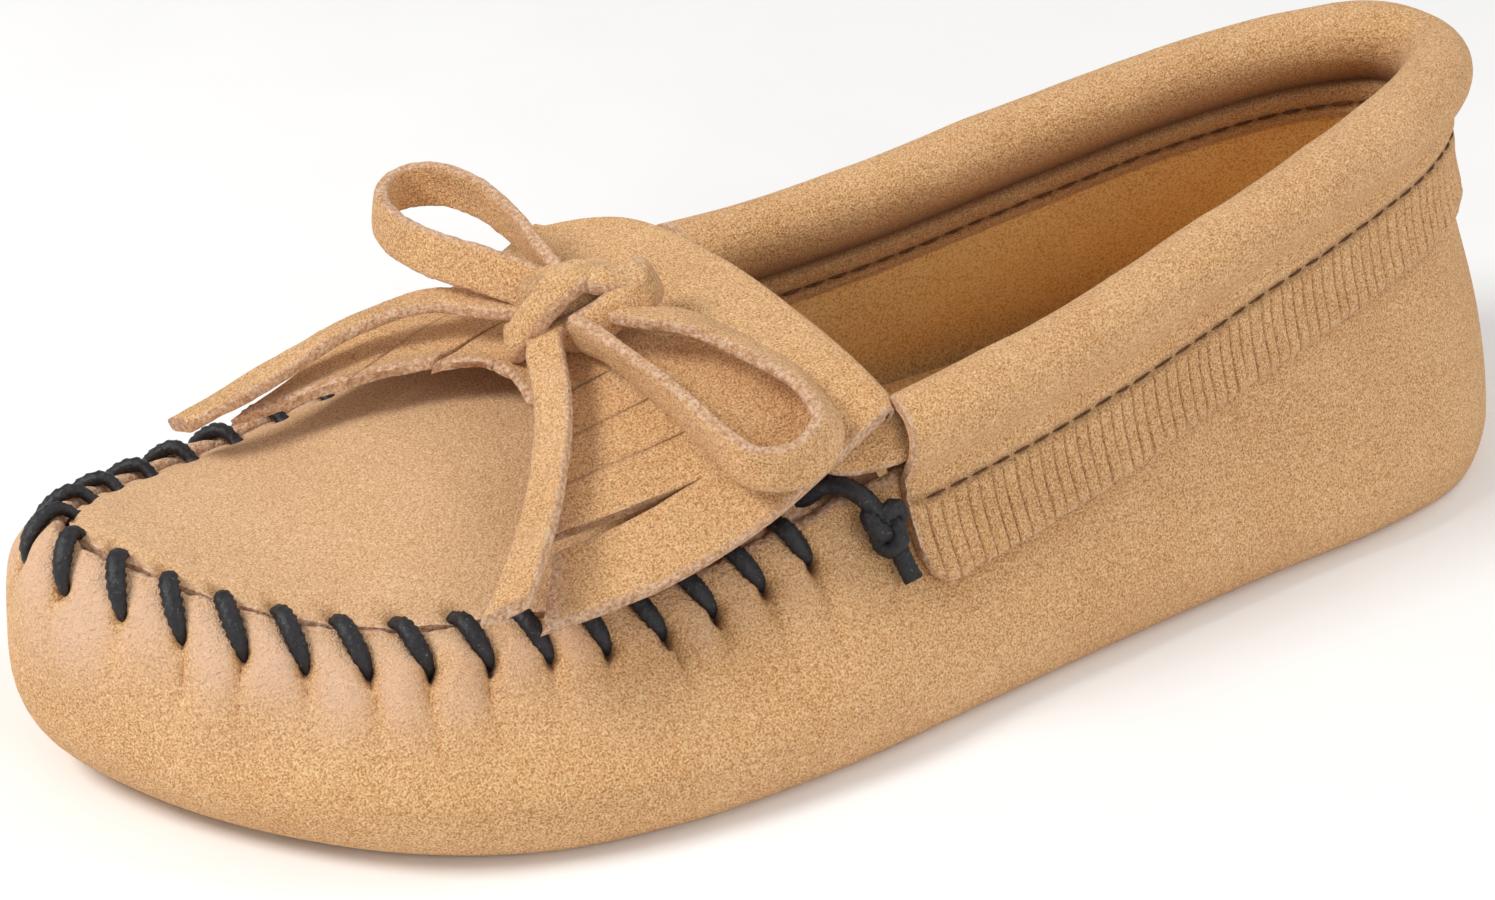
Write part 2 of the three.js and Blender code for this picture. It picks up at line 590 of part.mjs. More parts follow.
const loopOuter = () =>
  lace(
    route([[8.8, -33.2, 54.4], [13, -27.5, 53.8], [22, -22.5, 52.2], [31, -18.5, 49.4], [38.5, -19.2, 46.4],
      [42.2, -25.6, 44.2], [39.6, -31.6, 44], [33.4, -34.4, 46.4], [24.5, -36.4, 49.6], [12, -39.4, 52.8]]),
    vectors([[0, 0.2, 1], [0, 0.2, 1], [0.2, 0.5, 0.9], [0.7, 0.7, 0.5], [1, 0.3, 0.2], [1, -0.4, 0.1],
      [0.3, -1, 0], [-0.3, -1, 0], [-0.2, -1, -0.2], [-0.2, -1, -0.4]]),
    22,
  );
const tailInner = () =>
  lace(
    onLast([[-10.5, -46.4, 51], [-18.5, -52.7, 50.2], [-23.5, -62.5, 46.6], [-23, -74.5, 43], [-21,
      -84, 40.9],
      [-22, -91.5, 38]]),
    vectors([[0, 0, 1], [0, 0, 1], [-0.2, 0, 1], [-0.2, 0, 1], [-0.2, 0, 1], [-0.2, 0, 1]]),
    14,
  );
const tailOuter = () =>
  lace(
    onLast([[3.2, -45, 51], [9.6, -47.6, 48.8], [18.1, -51.4, 45.9], [28.1, -57.7, 42.3], [39.6, -67, 37.9],
      [45.1, -72.5, 35.5]]),
    vectors([[0, -0.3, 1], [0, 0, 1], [0.1, 0, 1], [0.1, 0, 1], [0.2, 0, 1], [0.3, 0, 1]]),
    14,
  );

// ---- Assembly ----
const suede = (color, roughness = 0.95) =>
  new THREE.MeshStandardMaterial({ color, roughness, metalness: 0 });
const TAN = 0xd4a574;
const LIGHT_TAN = 0xdcae82;
const INNER_TAN = 0x94603a;
const BLACK_WAX = 0x28262a;
const BROWN_THREAD = 0x4a2d1a;
const FOAM = 0xe6dccb;

const moccasin = new THREE.Group();
function piece(name, geometry, material) {
  const mesh = new THREE.Mesh(geometry, material);
  mesh.name = name;
  moccasin.add(mesh);
}

const stitchHoles = lacingCord(CORD_DIAMETER + 2 * HOLE_CLEAR);
piece("body_wrap", cut(wrapShell(), stitchHoles), suede(TAN));
piece("toe_plug", cut(plugSheet(), stitchHoles), suede(LIGHT_TAN));
piece("toe_lacing", lacingCord(CORD_DIAMETER), suede(BLACK_WAX, 0.5));
piece("lacing_end_left", lacingEnd(1), suede(BLACK_WAX, 0.5));
piece("lacing_end_right", lacingEnd(-1), suede(BLACK_WAX, 0.5));
piece("collar_binding", collarSheet(), suede(TAN));
piece("collar_thread_outer", collarThread(1), suede(BROWN_THREAD, 0.7));
piece("collar_thread_inner", collarThread(-1), suede(BROWN_THREAD, 0.7));
piece("lace_in_collar", laceInCollar(), suede(TAN));
piece("heel_seam_welt", heelWelt(), suede(TAN));
piece("heel_seam_thread", heelThread(), suede(BROWN_THREAD, 0.7));
piece("insole_pad", solePiece(PAD_LEVEL, PAD_THICK, EDGE_MARGIN), suede(FOAM));
piece("insole_cover", solePiece(SOCK_LEVEL, SOCK_THICK, EDGE_MARGIN), suede(INNER_TAN));
piece("kiltie_flap", fringedFlap(), suede(TAN));
piece("lace_lead_left", leadOuter(), suede(TAN));
piece("lace_lead_right", leadInner(), suede(TAN));
piece("bow_knot", bowKnot(), suede(TAN));
piece("bow_loop_left", loopOuter(), suede(TAN));
piece("bow_loop_right", loopInner(), suede(TAN));
piece("bow_tail_left", tailOuter(), suede(TAN));
piece("bow_tail_right", tailInner(), suede(TAN));

export default moccasin;
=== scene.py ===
"""A soft-soled suede moccasin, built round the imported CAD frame.

The toe points to -Y, the heel to +Y and the outer side of the foot to +X. Shapes are worked out in
millimetres in the row frame, and a mesh is made in metres.
"""

import math

import bpy
import numpy as np
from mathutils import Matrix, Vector


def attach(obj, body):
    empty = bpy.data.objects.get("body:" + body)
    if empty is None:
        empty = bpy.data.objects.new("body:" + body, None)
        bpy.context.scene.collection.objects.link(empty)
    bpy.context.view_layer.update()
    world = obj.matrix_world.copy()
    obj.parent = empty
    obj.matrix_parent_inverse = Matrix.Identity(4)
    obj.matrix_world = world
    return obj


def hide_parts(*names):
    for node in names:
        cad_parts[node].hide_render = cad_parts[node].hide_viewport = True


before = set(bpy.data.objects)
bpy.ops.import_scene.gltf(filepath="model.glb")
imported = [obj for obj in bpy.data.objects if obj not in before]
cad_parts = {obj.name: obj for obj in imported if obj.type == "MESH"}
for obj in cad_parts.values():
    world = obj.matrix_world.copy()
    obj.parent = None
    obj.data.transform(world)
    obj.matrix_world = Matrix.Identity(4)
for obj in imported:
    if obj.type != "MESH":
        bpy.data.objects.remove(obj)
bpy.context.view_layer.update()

MM = 0.001
UP = np.array([0.0, 0.0, 1.0])

# ---- Sizes, as in the CAD source ----
WRAP_THICK = 2.0
PLUG_THICK = 1.8
FLAP_THICK = 1.8
COLLAR_THICK = 1.5
SKIRT_DROP = 21.2
FACING_DROP = 12.8
COLLAR_STITCH_DROP = 10.2
CORD_DIAMETER = 3.0
STITCH_PITCH = 8.0
STITCH_LENGTH = 9.4
HOLE_CLEAR = 0.35
HOLE_LAND = 1.15
STITCH_INSET = CORD_DIAMETER / 2 + HOLE_CLEAR + HOLE_LAND
LACE_WIDTH = 7.0
LACE_THICK = 2.4
TUNNEL_ROOM = 0.5
THREAD_DIAMETER = 1.0
PAD_THICK = 3.0
SOCK_THICK = 1.2
CLEAR = 0.4
EDGE_MARGIN = WRAP_THICK / 2 + CLEAR
ROLL_RADIUS = math.hypot(LACE_WIDTH, LACE_THICK) / 2 + TUNNEL_ROOM + COLLAR_THICK
LAST_MIDDLE = np.array([5.1, 1.25, 0.0])

# ---- Camera and lights ----
AIM = np.array([-16.8, -4.8, 15.8])
AZIMUTH = 60.46
ELEVATION = 27.89
DISTANCE = 573.0
LENS = 89.2


def camera_back(azimuth, elevation):
    """The direction from the object to a camera at these angles in degrees."""
    a = math.radians(azimuth)
    e = math.radians(elevation)
    return np.array([math.sin(a) * math.cos(e), -math.cos(a) * math.cos(e), math.sin(e)])


def aim_object(obj, place, target):
    """Puts a camera or light at place, looking at target, both in millimetres."""
    obj.location = Vector(place) * MM
    direction = Vector(target) - Vector(place)
    obj.rotation_euler = direction.to_track_quat("-Z", "Y").to_euler()


def link(obj):
    bpy.context.scene.collection.objects.link(obj)
    return obj


def make_camera():
    data = bpy.data.cameras.new("camera")
    data.lens = LENS
    data.sensor_width = 36.0
    data.clip_end = 20.0
    camera = link(bpy.data.objects.new("camera", data))
    aim_object(camera, AIM + DISTANCE * camera_back(AZIMUTH, ELEVATION), AIM)
    bpy.context.scene.camera = camera


def area_light(name, azimuth, elevation, distance, size, power, color):
    data = bpy.data.lights.new(name, "AREA")
    data.shape = "DISK"
    data.size = size * MM
    data.energy = power
    data.color = color
    aim_object(link(bpy.data.objects.new(name, data)), distance * camera_back(azimuth, elevation), AIM)


def make_lights():
    area_light("key_light", -10, 46, 900, 340, 4.9, (1.0, 0.99, 0.97))
    area_light("back_light", 175, 48, 1000, 600, 1.9, (1.0, 0.99, 0.97))
    area_light("side_light", 95, 24, 1000, 600, 2.2, (1.0, 0.99, 0.98))
    world = bpy.data.worlds.new("studio")
    world.use_nodes = True
    background = world.node_tree.nodes["Background"]
    background.inputs["Color"].default_value = (1.0, 1.0, 1.0, 1.0)
    background.inputs["Strength"].default_value = 0.46
    bpy.context.scene.world = world
    bpy.context.scene.view_settings.view_transform = "Standard"


# ---- Number helpers ----
def smooth(x, low, high):
    """0 below low, 1 above high, and an even turn between them."""
    s = np.clip((np.asarray(x, float) - low) / (high - low), 0, 1)
    return s * s * (3 - 2 * s)


def unit(v):
    return v / np.maximum(np.linalg.norm(v, axis=-1, keepdims=True), 1e-12)


def lattice(cell, seed):
    """A steady random number from 0 to 1 for each whole-numbered cell."""
    h = cell[..., 0] * 374761393 + cell[..., 1] * 668265263 + cell[..., 2] * 1274126177
    h = (h + seed * 974634777) & 0x7FFFFFFF
    h = ((h ^ (h >> 13)) * 1103515245) & 0x7FFFFFFF
    h = ((h ^ (h >> 11)) * 668265263) & 0x7FFFFFFF
    return ((h ^ (h >> 15)) & 0xFFFFF) / 0xFFFFF


def noise(p, size, seed=0):
    """Smooth noise from -1 to 1, with features of that size in millimetres."""
    q = np.asarray(p, float) / size
    base = np.floor(q).astype(np.int64)
    f = q - base
    f = f * f * (3 - 2 * f)
    total = 0
    for corner in range(8):
        step = np.array([corner & 1, corner >> 1 & 1, corner >> 2 & 1])
        weight = np.prod(np.where(step, f, 1 - f), axis=-1)
        total = total + weight * lattice(base + step, seed)
    return 2 * total - 1


def column(x):
    """Numbers as points whose other two coordinates are 0."""
    return np.stack([x, x * 0, x * 0], -1)


def number_cells(x):
    return column(x).astype(np.int64)


def distances(points):
    """The distance along a path at each of its points."""
    return np.concatenate([[0], np.cumsum(np.linalg.norm(np.diff(points, axis=0), axis=1))])


def catmull(a, b, c, d, w):
    """The centripetal Catmull-Rom curve between b and c."""
    def root(p, q):
        return np.sqrt(np.linalg.norm(p - q, axis=-1, keepdims=True))

    middle = root(b, c)
    middle = np.where(middle < 1e-4, 1.0, middle)
    before = np.where(root(a, b) < 1e-4, middle, root(a, b))
    after = np.where(root(c, d) < 1e-4, middle, root(c, d))
    start = (b - a) / before - (c - a) / (before + middle) + (c - b) / middle
    end = (c - b) / middle - (d - b) / (middle + after) + (d - c) / after
    start = start * middle
    end = end * middle
    w = w[..., None]
    return (b + start * w + (-3 * b + 3 * c - 2 * start - end) * w ** 2
            + (2 * b - 2 * c + start + end) * w ** 3)


def closed_curve(points):
    """A closed curve through points, as a function of the share of its points passed."""
    p = np.array(points, float)
    count = len(p)

    def place(u):
        x = (np.asarray(u, float) % 1) * count
        i = np.minimum(np.floor(x).astype(int), count - 1)
        return catmull(p[i - 1], p[i], p[(i + 1) % count], p[(i + 2) % count], x - i)

    return place


def open_curve(points):
    """An open curve through points, from 0 to 1."""
    p = np.array(points, float)
    ends = np.vstack([2 * p[0] - p[1], p, 2 * p[-1] - p[-2]])

    def place(u):
        x = np.clip(np.asarray(u, float), 0, 1) * (len(p) - 1)
        i = np.minimum(np.floor(x).astype(int), len(p) - 2)
        return catmull(ends[i], ends[i + 1], ends[i + 2], ends[i + 3], x - i)

    return place


def even_steps(place, spacing):
    """Curve positions that lie about spacing millimetres apart, and the length."""
    u = np.linspace(0, 1, 2000)
    length = distances(place(u))
    steps = max(4, int(round(length[-1] / spacing)))
    return np.interp(np.linspace(0, length[-1], steps + 1), length, u), length[-1]


# ---- Outline of the wrap, as in the CAD source ----
STATIONS = [
    ((-3, -117, 37), (-2, -125, 17), (-3, -110.5), 62, 0),
    ((8, -111.5, 35), (14, -119.5, 14), (12, -106), 58, 0),
    ((19.5, -101, 31.5), (31, -108, 11.5), (27, -97), 56, 0),
    ((29, -85, 28), (46, -91.5, 10.5), (40.5, -84.5), 54, 0.05),
    ((34, -66, 27), (54.5, -71.5, 10), (49.8, -69.5), 52, 0.1),
    ((35.8, -48, 26), (57, -50, 9.5), (53, -50), 48, 0.2),
    ((35.5, -31, 28.8), (56, -32, 9), (52.5, -32), 40, 0.4),
    ((35.6, -16, 32.6), (54, -17, 9), (50.7, -17), 26, 0.6),
    ((36, -4, 35), (51.5, -4, 9), (48.2, -4), 12, 0.8),
    ((31.9, 26, 39), (46, 26, 9), (42.7, 26), 10, 0.9),
    ((25.5, 58.5, 45.5), (41, 58, 9), (37.5, 58), 10, 1),
    ((19.4, 84.8, 50.5), (37.5, 85, 9), (34, 85), 10, 1),
    ((11.7, 105.2, 53.5), (29.8, 106, 6.5), (28.2, 105), 8, 0.6),
    ((2.7, 116.5, 54.5), (14.8, 121, 6), (14, 119), 6, 0.35),
    ((-5.5, 120, 54.5), (-4, 126.5, 6.5), (-4, 124.2), 6, 0.35),
    ((-14.2, 116.8, 54.5), (-26, 121.5, 6), (-24.8, 119.5), 6, 0.35),
    ((-22.2, 105.2, 52.6), (-39.5, 107, 6.5), (-37.8, 105.8), 8, 0.6),
    ((-26.5, 84.6, 49.5), (-43, 84, 9), (-39.5, 84), 10, 1),
    ((-29, 58.3, 44.5), (-42, 58, 9), (-38.5, 58), 10, 1),
    ((-31.1, 26, 38.4), (-40, 26, 9), (-36.5, 26), 10, 0.9),
    ((-33, -4, 35), (-41, -4, 9.5), (-37, -4), 12, 0.8),
    ((-31.5, -16, 35.8), (-43, -17, 9.5), (-39, -17), 26, 0.6),
    ((-32.5, -31, 36), (-45, -32, 10), (-41, -32), 40, 0.4),
    ((-33.5, -48, 35.2), (-46.5, -50, 11), (-42, -50), 48, 0.2),
    ((-32.5, -66, 33), (-46.5, -69, 13), (-41.5, -68), 52, 0.1),
    ((-29, -84, 30.8), (-43.5, -88, 15.5), (-37.5, -84), 54, 0.05),
    ((-23, -99.5, 32), (-34.5, -106, 18), (-29, -98), 56, 0),
    ((-14, -111, 35.3), (-19, -119, 18), (-16.5, -106.5), 58, 0),
]
COUNT = len(STATIONS)
THROAT_OUTER = 8
THROAT_INNER = 20
HEEL = 14
WIDE_ROW = 0.3
SIDE_REACH = 0.42
SIDE_HEIGHT = 0.4
SIDE_DRAW = 0.35


def at(points):
    """Points of the last, in the row frame."""
    return np.array(points, float) - LAST_MIDDLE


TOP_EDGE = closed_curve(at([s[0] for s in STATIONS]))
WIDE_LINE = closed_curve(at([s[1] for s in STATIONS]))
FOOT_LINE = closed_curve(at([(*s[2], 0) for s in STATIONS]))
LEAN_LINE = closed_curve([(s[3], s[4], 0) for s in STATIONS])


def wall(k, v):
    """Points on the outside of the wrap at station k and row v, from the sole's edge to the top edge."""
    k, v = np.broadcast_arrays(np.asarray(k, float), np.asarray(v, float))
    u = k / COUNT
    wide = WIDE_LINE(u)
    foot = FOOT_LINE(u)
    top = TOP_EDGE(u)
    shape = LEAN_LINE(u)
    turn = np.minimum(v / WIDE_ROW, 1) * math.pi / 2
    under = foot + (wide - foot) * np.sin(turn)[..., None]
    under[..., 2] = wide[..., 2] * (1 - np.cos(turn))
    lean = np.radians(shape[..., 0:1])
    inward = top - wide
    inward[..., 2] = 0
    inward = unit(inward)
    reach = SIDE_REACH * np.linalg.norm(top - wide, axis=-1, keepdims=True)
    low = wide + (top - wide) * SIDE_DRAW * shape[..., 1:2]
    low[..., 2] = wide[..., 2] + SIDE_HEIGHT * (top[..., 2] - wide[..., 2])
    high = top - inward * reach * np.sin(lean)
    high[..., 2:3] -= reach * np.cos(lean)
    t = np.clip((v - WIDE_ROW) / (1 - WIDE_ROW), 0, 1)[..., None]
    over = (wide * (1 - t) ** 3 + 3 * low * t * (1 - t) ** 2 + 3 * high * t ** 2 * (1 - t)
            + top * t ** 3)
    return np.where((v <= WIDE_ROW)[..., None], under, over)


def wall_normal(k, v):
    k, v = np.broadcast_arrays(np.asarray(k, float), np.asarray(v, float))
    along = wall(k + 0.05, v) - wall(k - 0.05, v)
    up = wall(k, np.minimum(1, v + 0.01)) - wall(k, np.maximum(0, v - 0.01))
    return unit(np.cross(along, up))


def off_wall(k, v, out):
    return wall(k, v) + wall_normal(k, v) * np.asarray(out, float)[..., None]


def row_at_height(k, z):
    """The row of the wall whose height is z, by halving."""
    low = np.full(np.shape(z), WIDE_ROW)
    high = np.ones(np.shape(z))
    for _ in range(20):
        middle = (low + high) / 2
        under = wall(k, middle)[..., 2] < z
        low = np.where(under, middle, low)
        high = np.where(under, high, middle)
    return (low + high) / 2


# ---- Stitches round the toe seam ----
LACING_END = THROAT_OUTER - 1.1
EDGE_PHASE = 0.14
HOLE_PHASE = 0.44
GATHER_DEPTH = 2.6
HOLE_DOWN = STITCH_LENGTH * 0.92 - STITCH_INSET
SEAM_MARKS = np.linspace(-LACING_END, LACING_END, 801)
SEAM_DISTANCES = distances(TOP_EDGE(SEAM_MARKS / COUNT))
SEAM_LENGTH = SEAM_DISTANCES[-1]
TURNS = int(SEAM_LENGTH // STITCH_PITCH)


def signed_station(k):
    """Stations from -14 to 14, with the toe at 0."""
    return (np.asarray(k, float) + HEEL) % COUNT - HEEL


def turn_at(k):
    """How many stitches lie before station k, counted from the lacing's inner end."""
    return np.interp(signed_station(k), SEAM_MARKS, SEAM_DISTANCES) / SEAM_LENGTH * TURNS


def station_of_turn(turn):
    return np.interp(np.asarray(turn, float) / TURNS * SEAM_LENGTH, SEAM_DISTANCES, SEAM_MARKS)


def gather(k, down):
    """How far the gathered leather stands out, how deep in a groove it lies, and how near a hole it is."""
    lean = EDGE_PHASE + (HOLE_PHASE - EDGE_PHASE) * np.clip(down / HOLE_DOWN, 0, 1)
    wander = noise(np.stack([turn_at(k) * 2.0, down * 0.12, down * 0], -1), 1.3, 4)
    phase = turn_at(k) - lean + 0.1 * wander * smooth(down, HOLE_DOWN, HOLE_DOWN + 4)
    lobe = np.abs(np.sin(math.pi * phase)) ** 0.55
    signed = signed_station(k)
    stitched = smooth(signed, -LACING_END - 0.5, -LACING_END + 0.3)
    stitched = stitched * (1 - smooth(signed, LACING_END - 0.3, LACING_END + 0.5))
    number = np.floor(phase)
    cell = number_cells(number)
    strength = 0.4 + 1.0 * lattice(cell, 5)
    reach = 3 + 10 * lattice(cell, 9)
    fade = np.exp(-(np.maximum(down - HOLE_DOWN, 0) / reach) ** 2)
    depth = GATHER_DEPTH * (0.35 + 0.65 * smooth(down, 0, 4)) * fade * strength * stitched
    out = depth * (lobe - 0.6)
    groove = (1 - lobe) * fade * stitched * strength
    near = (((turn_at(k) - HOLE_PHASE + 0.5) % 1 - 0.5) * STITCH_PITCH / 0.9) ** 2
    hole = np.exp(-near - ((down - HOLE_DOWN - 0.7) / 1.3) ** 2) * stitched
    return out, groove, hole


def wrap_surface(k, v, inside=False):
    """The outside of the wrap with its gathers, and its tone: below 0 is darker, painted shade in the
    grooves and stitch holes; above 0 paler, a painted highlight on the lobes and toe, partly wear.
    """
    base = wall(k, v)
    normal = wall_normal(k, v)
    down = np.linalg.norm(base - wall(k, np.ones_like(v)), axis=-1)
    out, groove, hole = gather(k, down)
    front = smooth(np.abs(signed_station(k)), THROAT_OUTER + 2, 3)
    folds = noise(np.stack([turn_at(k) * 3.2, down * 0.25, down * 0], -1), 6, 3)
    out = out + 0.8 * folds * front * smooth(down, 3, 12) * (1 - smooth(down, 16, 34))
    out = out + 0.6 * noise(base, 24, 7) * smooth(base[..., 2], 2, 14) * smooth(down, 2, 10)
    out = out + 0.3 * noise(base, 9, 8) * front * smooth(down, 2, 8) * (1 - smooth(down, 16, 30))
    out = out - 1.2 * hole
    if inside:
        return base + normal * (0.5 * out - WRAP_THICK)[..., None]
    toe = smooth(np.abs(signed_station(k)), 6, 2)
    # Painted highlight on the raised lobes and the toe, partly rubbed wear
    lobe_highlight_and_wear = (0.5 * np.clip(out + 0.3, 0, 1) + 0.35 * toe) * smooth(down, 24, 8) * front
    # Painted shade in the grooves between lobes and in the sunk stitch holes
    tone = lobe_highlight_and_wear * (1 + 0.6 * noise(base, 8, 12)) - 0.3 * groove - 1.3 * hole
    points = base + normal * out[..., None]
    points[..., 2] = np.maximum(points[..., 2], 0)
    return points, tone


# ---- Mesh helpers ----
def new_object(name, points, faces, attributes=None):
    mesh = bpy.data.meshes.new(name)
    mesh.from_pydata((np.asarray(points) * MM).tolist(), [], faces)
    for key, values in (attributes or {}).items():
        layer = mesh.attributes.new(key, "FLOAT", "POINT")
        layer.data.foreach_set("value", np.asarray(values, np.float32).ravel())
    mesh.polygons.foreach_set("use_smooth", np.ones(len(mesh.polygons), bool))
    mesh.set_sharp_from_angle(angle=math.radians(62))
    mesh.update()
    return link(bpy.data.objects.new(name, mesh))


def volume_sign(points, quads):
    p = np.asarray(points)
    q = np.array([f if len(f) == 4 else (*f, f[-1]) for f in quads])
    a, b, c, d = (p[q[:, i]] for i in range(4))
    return np.sum(a * np.cross(b, c)) + np.sum(a * np.cross(c, d))


def facing_out(points, faces):
    faces = [tuple(f) for f in faces]
    if volume_sign(points, faces) < 0:
        faces = [f[::-1] for f in faces]
    return faces


def thick_sheet(name, front, back, closed=False, keep=None, attributes=None):
    """A closed solid between two grids of points. closed joins the last column to the first, and keep
    says which of the grid's squares there are."""
    columns, rows = front.shape[:2]
    ids = np.arange(columns * rows).reshape(columns, rows)
    if closed:
        ids = np.vstack([ids, ids[:1]])
    under = ids + columns * rows
    corners = [(slice(0, -1), slice(0, -1)), (slice(1, None), slice(0, -1)),
               (slice(1, None), slice(1, None)), (slice(0, -1), slice(1, None))]
    a, b, c, d = (ids[s] for s in corners)
    e, f, g, h = (under[s] for s in corners)
    if keep is None:
        keep = np.ones(a.shape, bool)
    ring = np.pad(keep, 1)
    if closed:
        ring[0, 1:-1] = keep[-1]
        ring[-1, 1:-1] = keep[0]
    inner = (slice(1, -1), slice(1, -1))
    faces = [np.stack([a, b, c, d], -1)[keep], np.stack([e, h, g, f], -1)[keep]]
    walls = [
        (ring[:-2, 1:-1], (a, d, h, e)),
        (ring[2:, 1:-1], (c, b, f, g)),
        (ring[1:-1, :-2], (b, a, e, f)),
        (ring[1:-1, 2:], (d, c, g, h)),
    ]
    for neighbour, quad in walls:
        faces.append(np.stack(quad, -1)[ring[inner] & ~neighbour])
    points = np.vstack([front.reshape(-1, 3), back.reshape(-1, 3)])
    quads = np.vstack(faces)
    used = np.unique(quads)
    if len(used) < len(points):
        lookup = np.zeros(len(points), int)
        lookup[used] = np.arange(len(used))
        quads = lookup[quads]
        points = points[used]
    values = {}
    for key, pair in (attributes or {}).items():
        values[key] = np.concatenate([np.ravel(x) for x in pair])[used]
    return new_object(name, points, facing_out(points, quads.tolist()), values)


def path_frames(points, facing):
    """The side and outward directions along a path whose broad side faces facing."""
    tangent = unit(np.gradient(points, axis=0))
    across = unit(np.cross(tangent, facing))
    return across, unit(np.cross(across, tangent))


def ring_section(sides, square):
    """Points round a unit section: square 0 is round, and 1 nearly a rectangle."""
    angle = np.linspace(0, 2 * math.pi, sides, endpoint=False)
    power = 1 - 0.72 * square
    x = np.sign(np.cos(angle)) * np.abs(np.cos(angle)) ** power
    y = np.sign(np.sin(angle)) * np.abs(np.sin(angle)) ** power
    return x, y


def swept(points, across, out, half_wide, half_thick, sides, square=0.0):
    """Rings round a path, as a grid of points."""
    x, y = ring_section(sides, square)
    wide = np.broadcast_to(half_wide, len(points))[:, None, None] * x[None, :, None]
    thick = np.broadcast_to(half_thick, len(points))[:, None, None] * y[None, :, None]
    return points[:, None] + across[:, None] * wide + out[:, None] * thick


def tube_faces(steps, sides, first=0):
    """Faces of a tube of rings, closed at both ends."""
    i, j = np.meshgrid(np.arange(steps - 1), np.arange(sides), indexing="ij")
    nxt = (j + 1) % sides
    quads = np.stack([i * sides + j, i * sides + nxt, (i + 1) * sides + nxt, (i + 1) * sides + j], -1)
    faces = (quads.reshape(-1, 4) + first).tolist()
    faces.append([first + n for n in range(sides - 1, -1, -1)])
    faces.append([first + (steps - 1) * sides + n for n in range(sides)])
    return faces


def sided(points, faces):
    """Turns a tube's faces outwards; its end caps have many corners."""
    p = np.asarray(points)
    quads = [f for f in faces if len(f) == 4]
    if volume_sign(p, quads) < 0:
        return [list(reversed(f)) for f in faces]
    return faces


def joined(name, parts, attributes=None):
    """One object of several (points, faces) parts."""
    points = []
    faces = []
    first = 0
    for grid, part_faces in parts:
        flat = grid.reshape(-1, 3)
        points.append(flat)
        faces += [[n + first for n in f] for f in sided(flat, part_faces)]
        first += len(flat)
    return new_object(name, np.vstack(points), faces, attributes)


# ---- Materials ----
def node(tree, kind, **settings):
    made = tree.nodes.new(kind)
    for key, value in settings.items():
        if key in made.inputs:
            made.inputs[key].default_value = value
        else:
            setattr(made, key, value)
    return made


def noise_node(tree, coordinate, scale, detail=4.0, roughness=0.6, stretch=(1, 1, 1)):
    """A noise texture on the object's own coordinates, with features per metre."""
    mapping = node(tree, "ShaderNodeMapping", Scale=stretch)
    tree.links.new(coordinate, mapping.inputs["Vector"])
    made = node(tree, "ShaderNodeTexNoise", Scale=scale, Detail=detail, Roughness=roughness)
    tree.links.new(mapping.outputs["Vector"], made.inputs["Vector"])
    return made.outputs["Fac"]


def ramp_node(tree, value, stops):
    made = node(tree, "ShaderNodeValToRGB")
    elements = made.color_ramp.elements
    while len(elements) < len(stops):
        elements.new(0.5)
    for element, (position, color) in zip(elements, stops):
        element.position = position
        element.color = (*color, 1.0) if len(color) == 3 else color
    tree.links.new(value, made.inputs["Fac"])
    return made.outputs["Color"]


def math_node(tree, operation, a, b=0.0, clamp=False):
    made = node(tree, "ShaderNodeMath", operation=operation, use_clamp=clamp)
    for socket, value in zip(made.inputs, (a, b)):
        if isinstance(value, (int, float)):
            socket.default_value = value
        else:
            tree.links.new(value, socket)
    return made.outputs[0]


def mix_node(tree, share, a, b, blend="MIX"):
    made = node(tree, "ShaderNodeMix", data_type="RGBA", blend_type=blend)
    sockets = [s for s in made.inputs if s.type == "RGBA"]
    factor = made.inputs[0]
    for socket, value in ((factor, share), (sockets[0], a), (sockets[1], b)):
        if isinstance(value, (int, float)):
            socket.default_value = value
        elif isinstance(value, tuple):
            socket.default_value = (*value, 1.0)
        else:
            tree.links.new(value, socket)
    return [s for s in made.outputs if s.type == "RGBA"][0]


def attribute_node(tree, name):
    return node(tree, "ShaderNodeAttribute", attribute_name=name).outputs["Fac"]


def bump_node(tree, height, strength, distance, normal=None):
    made = node(tree, "ShaderNodeBump", Strength=strength, Distance=distance)
    tree.links.new(height, made.inputs["Height"])
    if normal is not None:
        tree.links.new(normal, made.inputs["Normal"])
    return made.outputs["Normal"]


def linear(red, green, blue):
    """An 8-bit screen colour as linear light."""
    def one(c):
        c = c / 255
        return c / 12.92 if c <= 0.04045 else ((c + 0.055) / 1.055) ** 2.4

    return tuple(one(c) for c in (red, green, blue))


def start_material(name, roughness, specular):
    material = bpy.data.materials.new(name)
    material.use_nodes = True
    tree = material.node_tree
    shader = tree.nodes["Principled BSDF"]
    shader.inputs["Roughness"].default_value = roughness
    shader.inputs["Specular IOR Level"].default_value = specular
    coordinate = node(tree, "ShaderNodeTexCoord").outputs["Object"]
    return material, tree, shader, coordinate


# Pale colours for a painted highlight on raised crowns and swells, partly rubbed wear
CROWN_HIGHLIGHT_AND_WEAR = linear(230, 186, 152)
CROWN_HIGHLIGHT_AND_WEAR_GRAIN = linear(242, 202, 170)
# Colour of painted shade in folds, grooves, stitch holes, slits and under the collar roll
PAINTED_SHADE_COLOR = linear(118, 74, 42)
RAW_DARK = linear(188, 134, 98)
RAW_MIDDLE = linear(220, 176, 142)
RAW_PALE = linear(240, 210, 184)


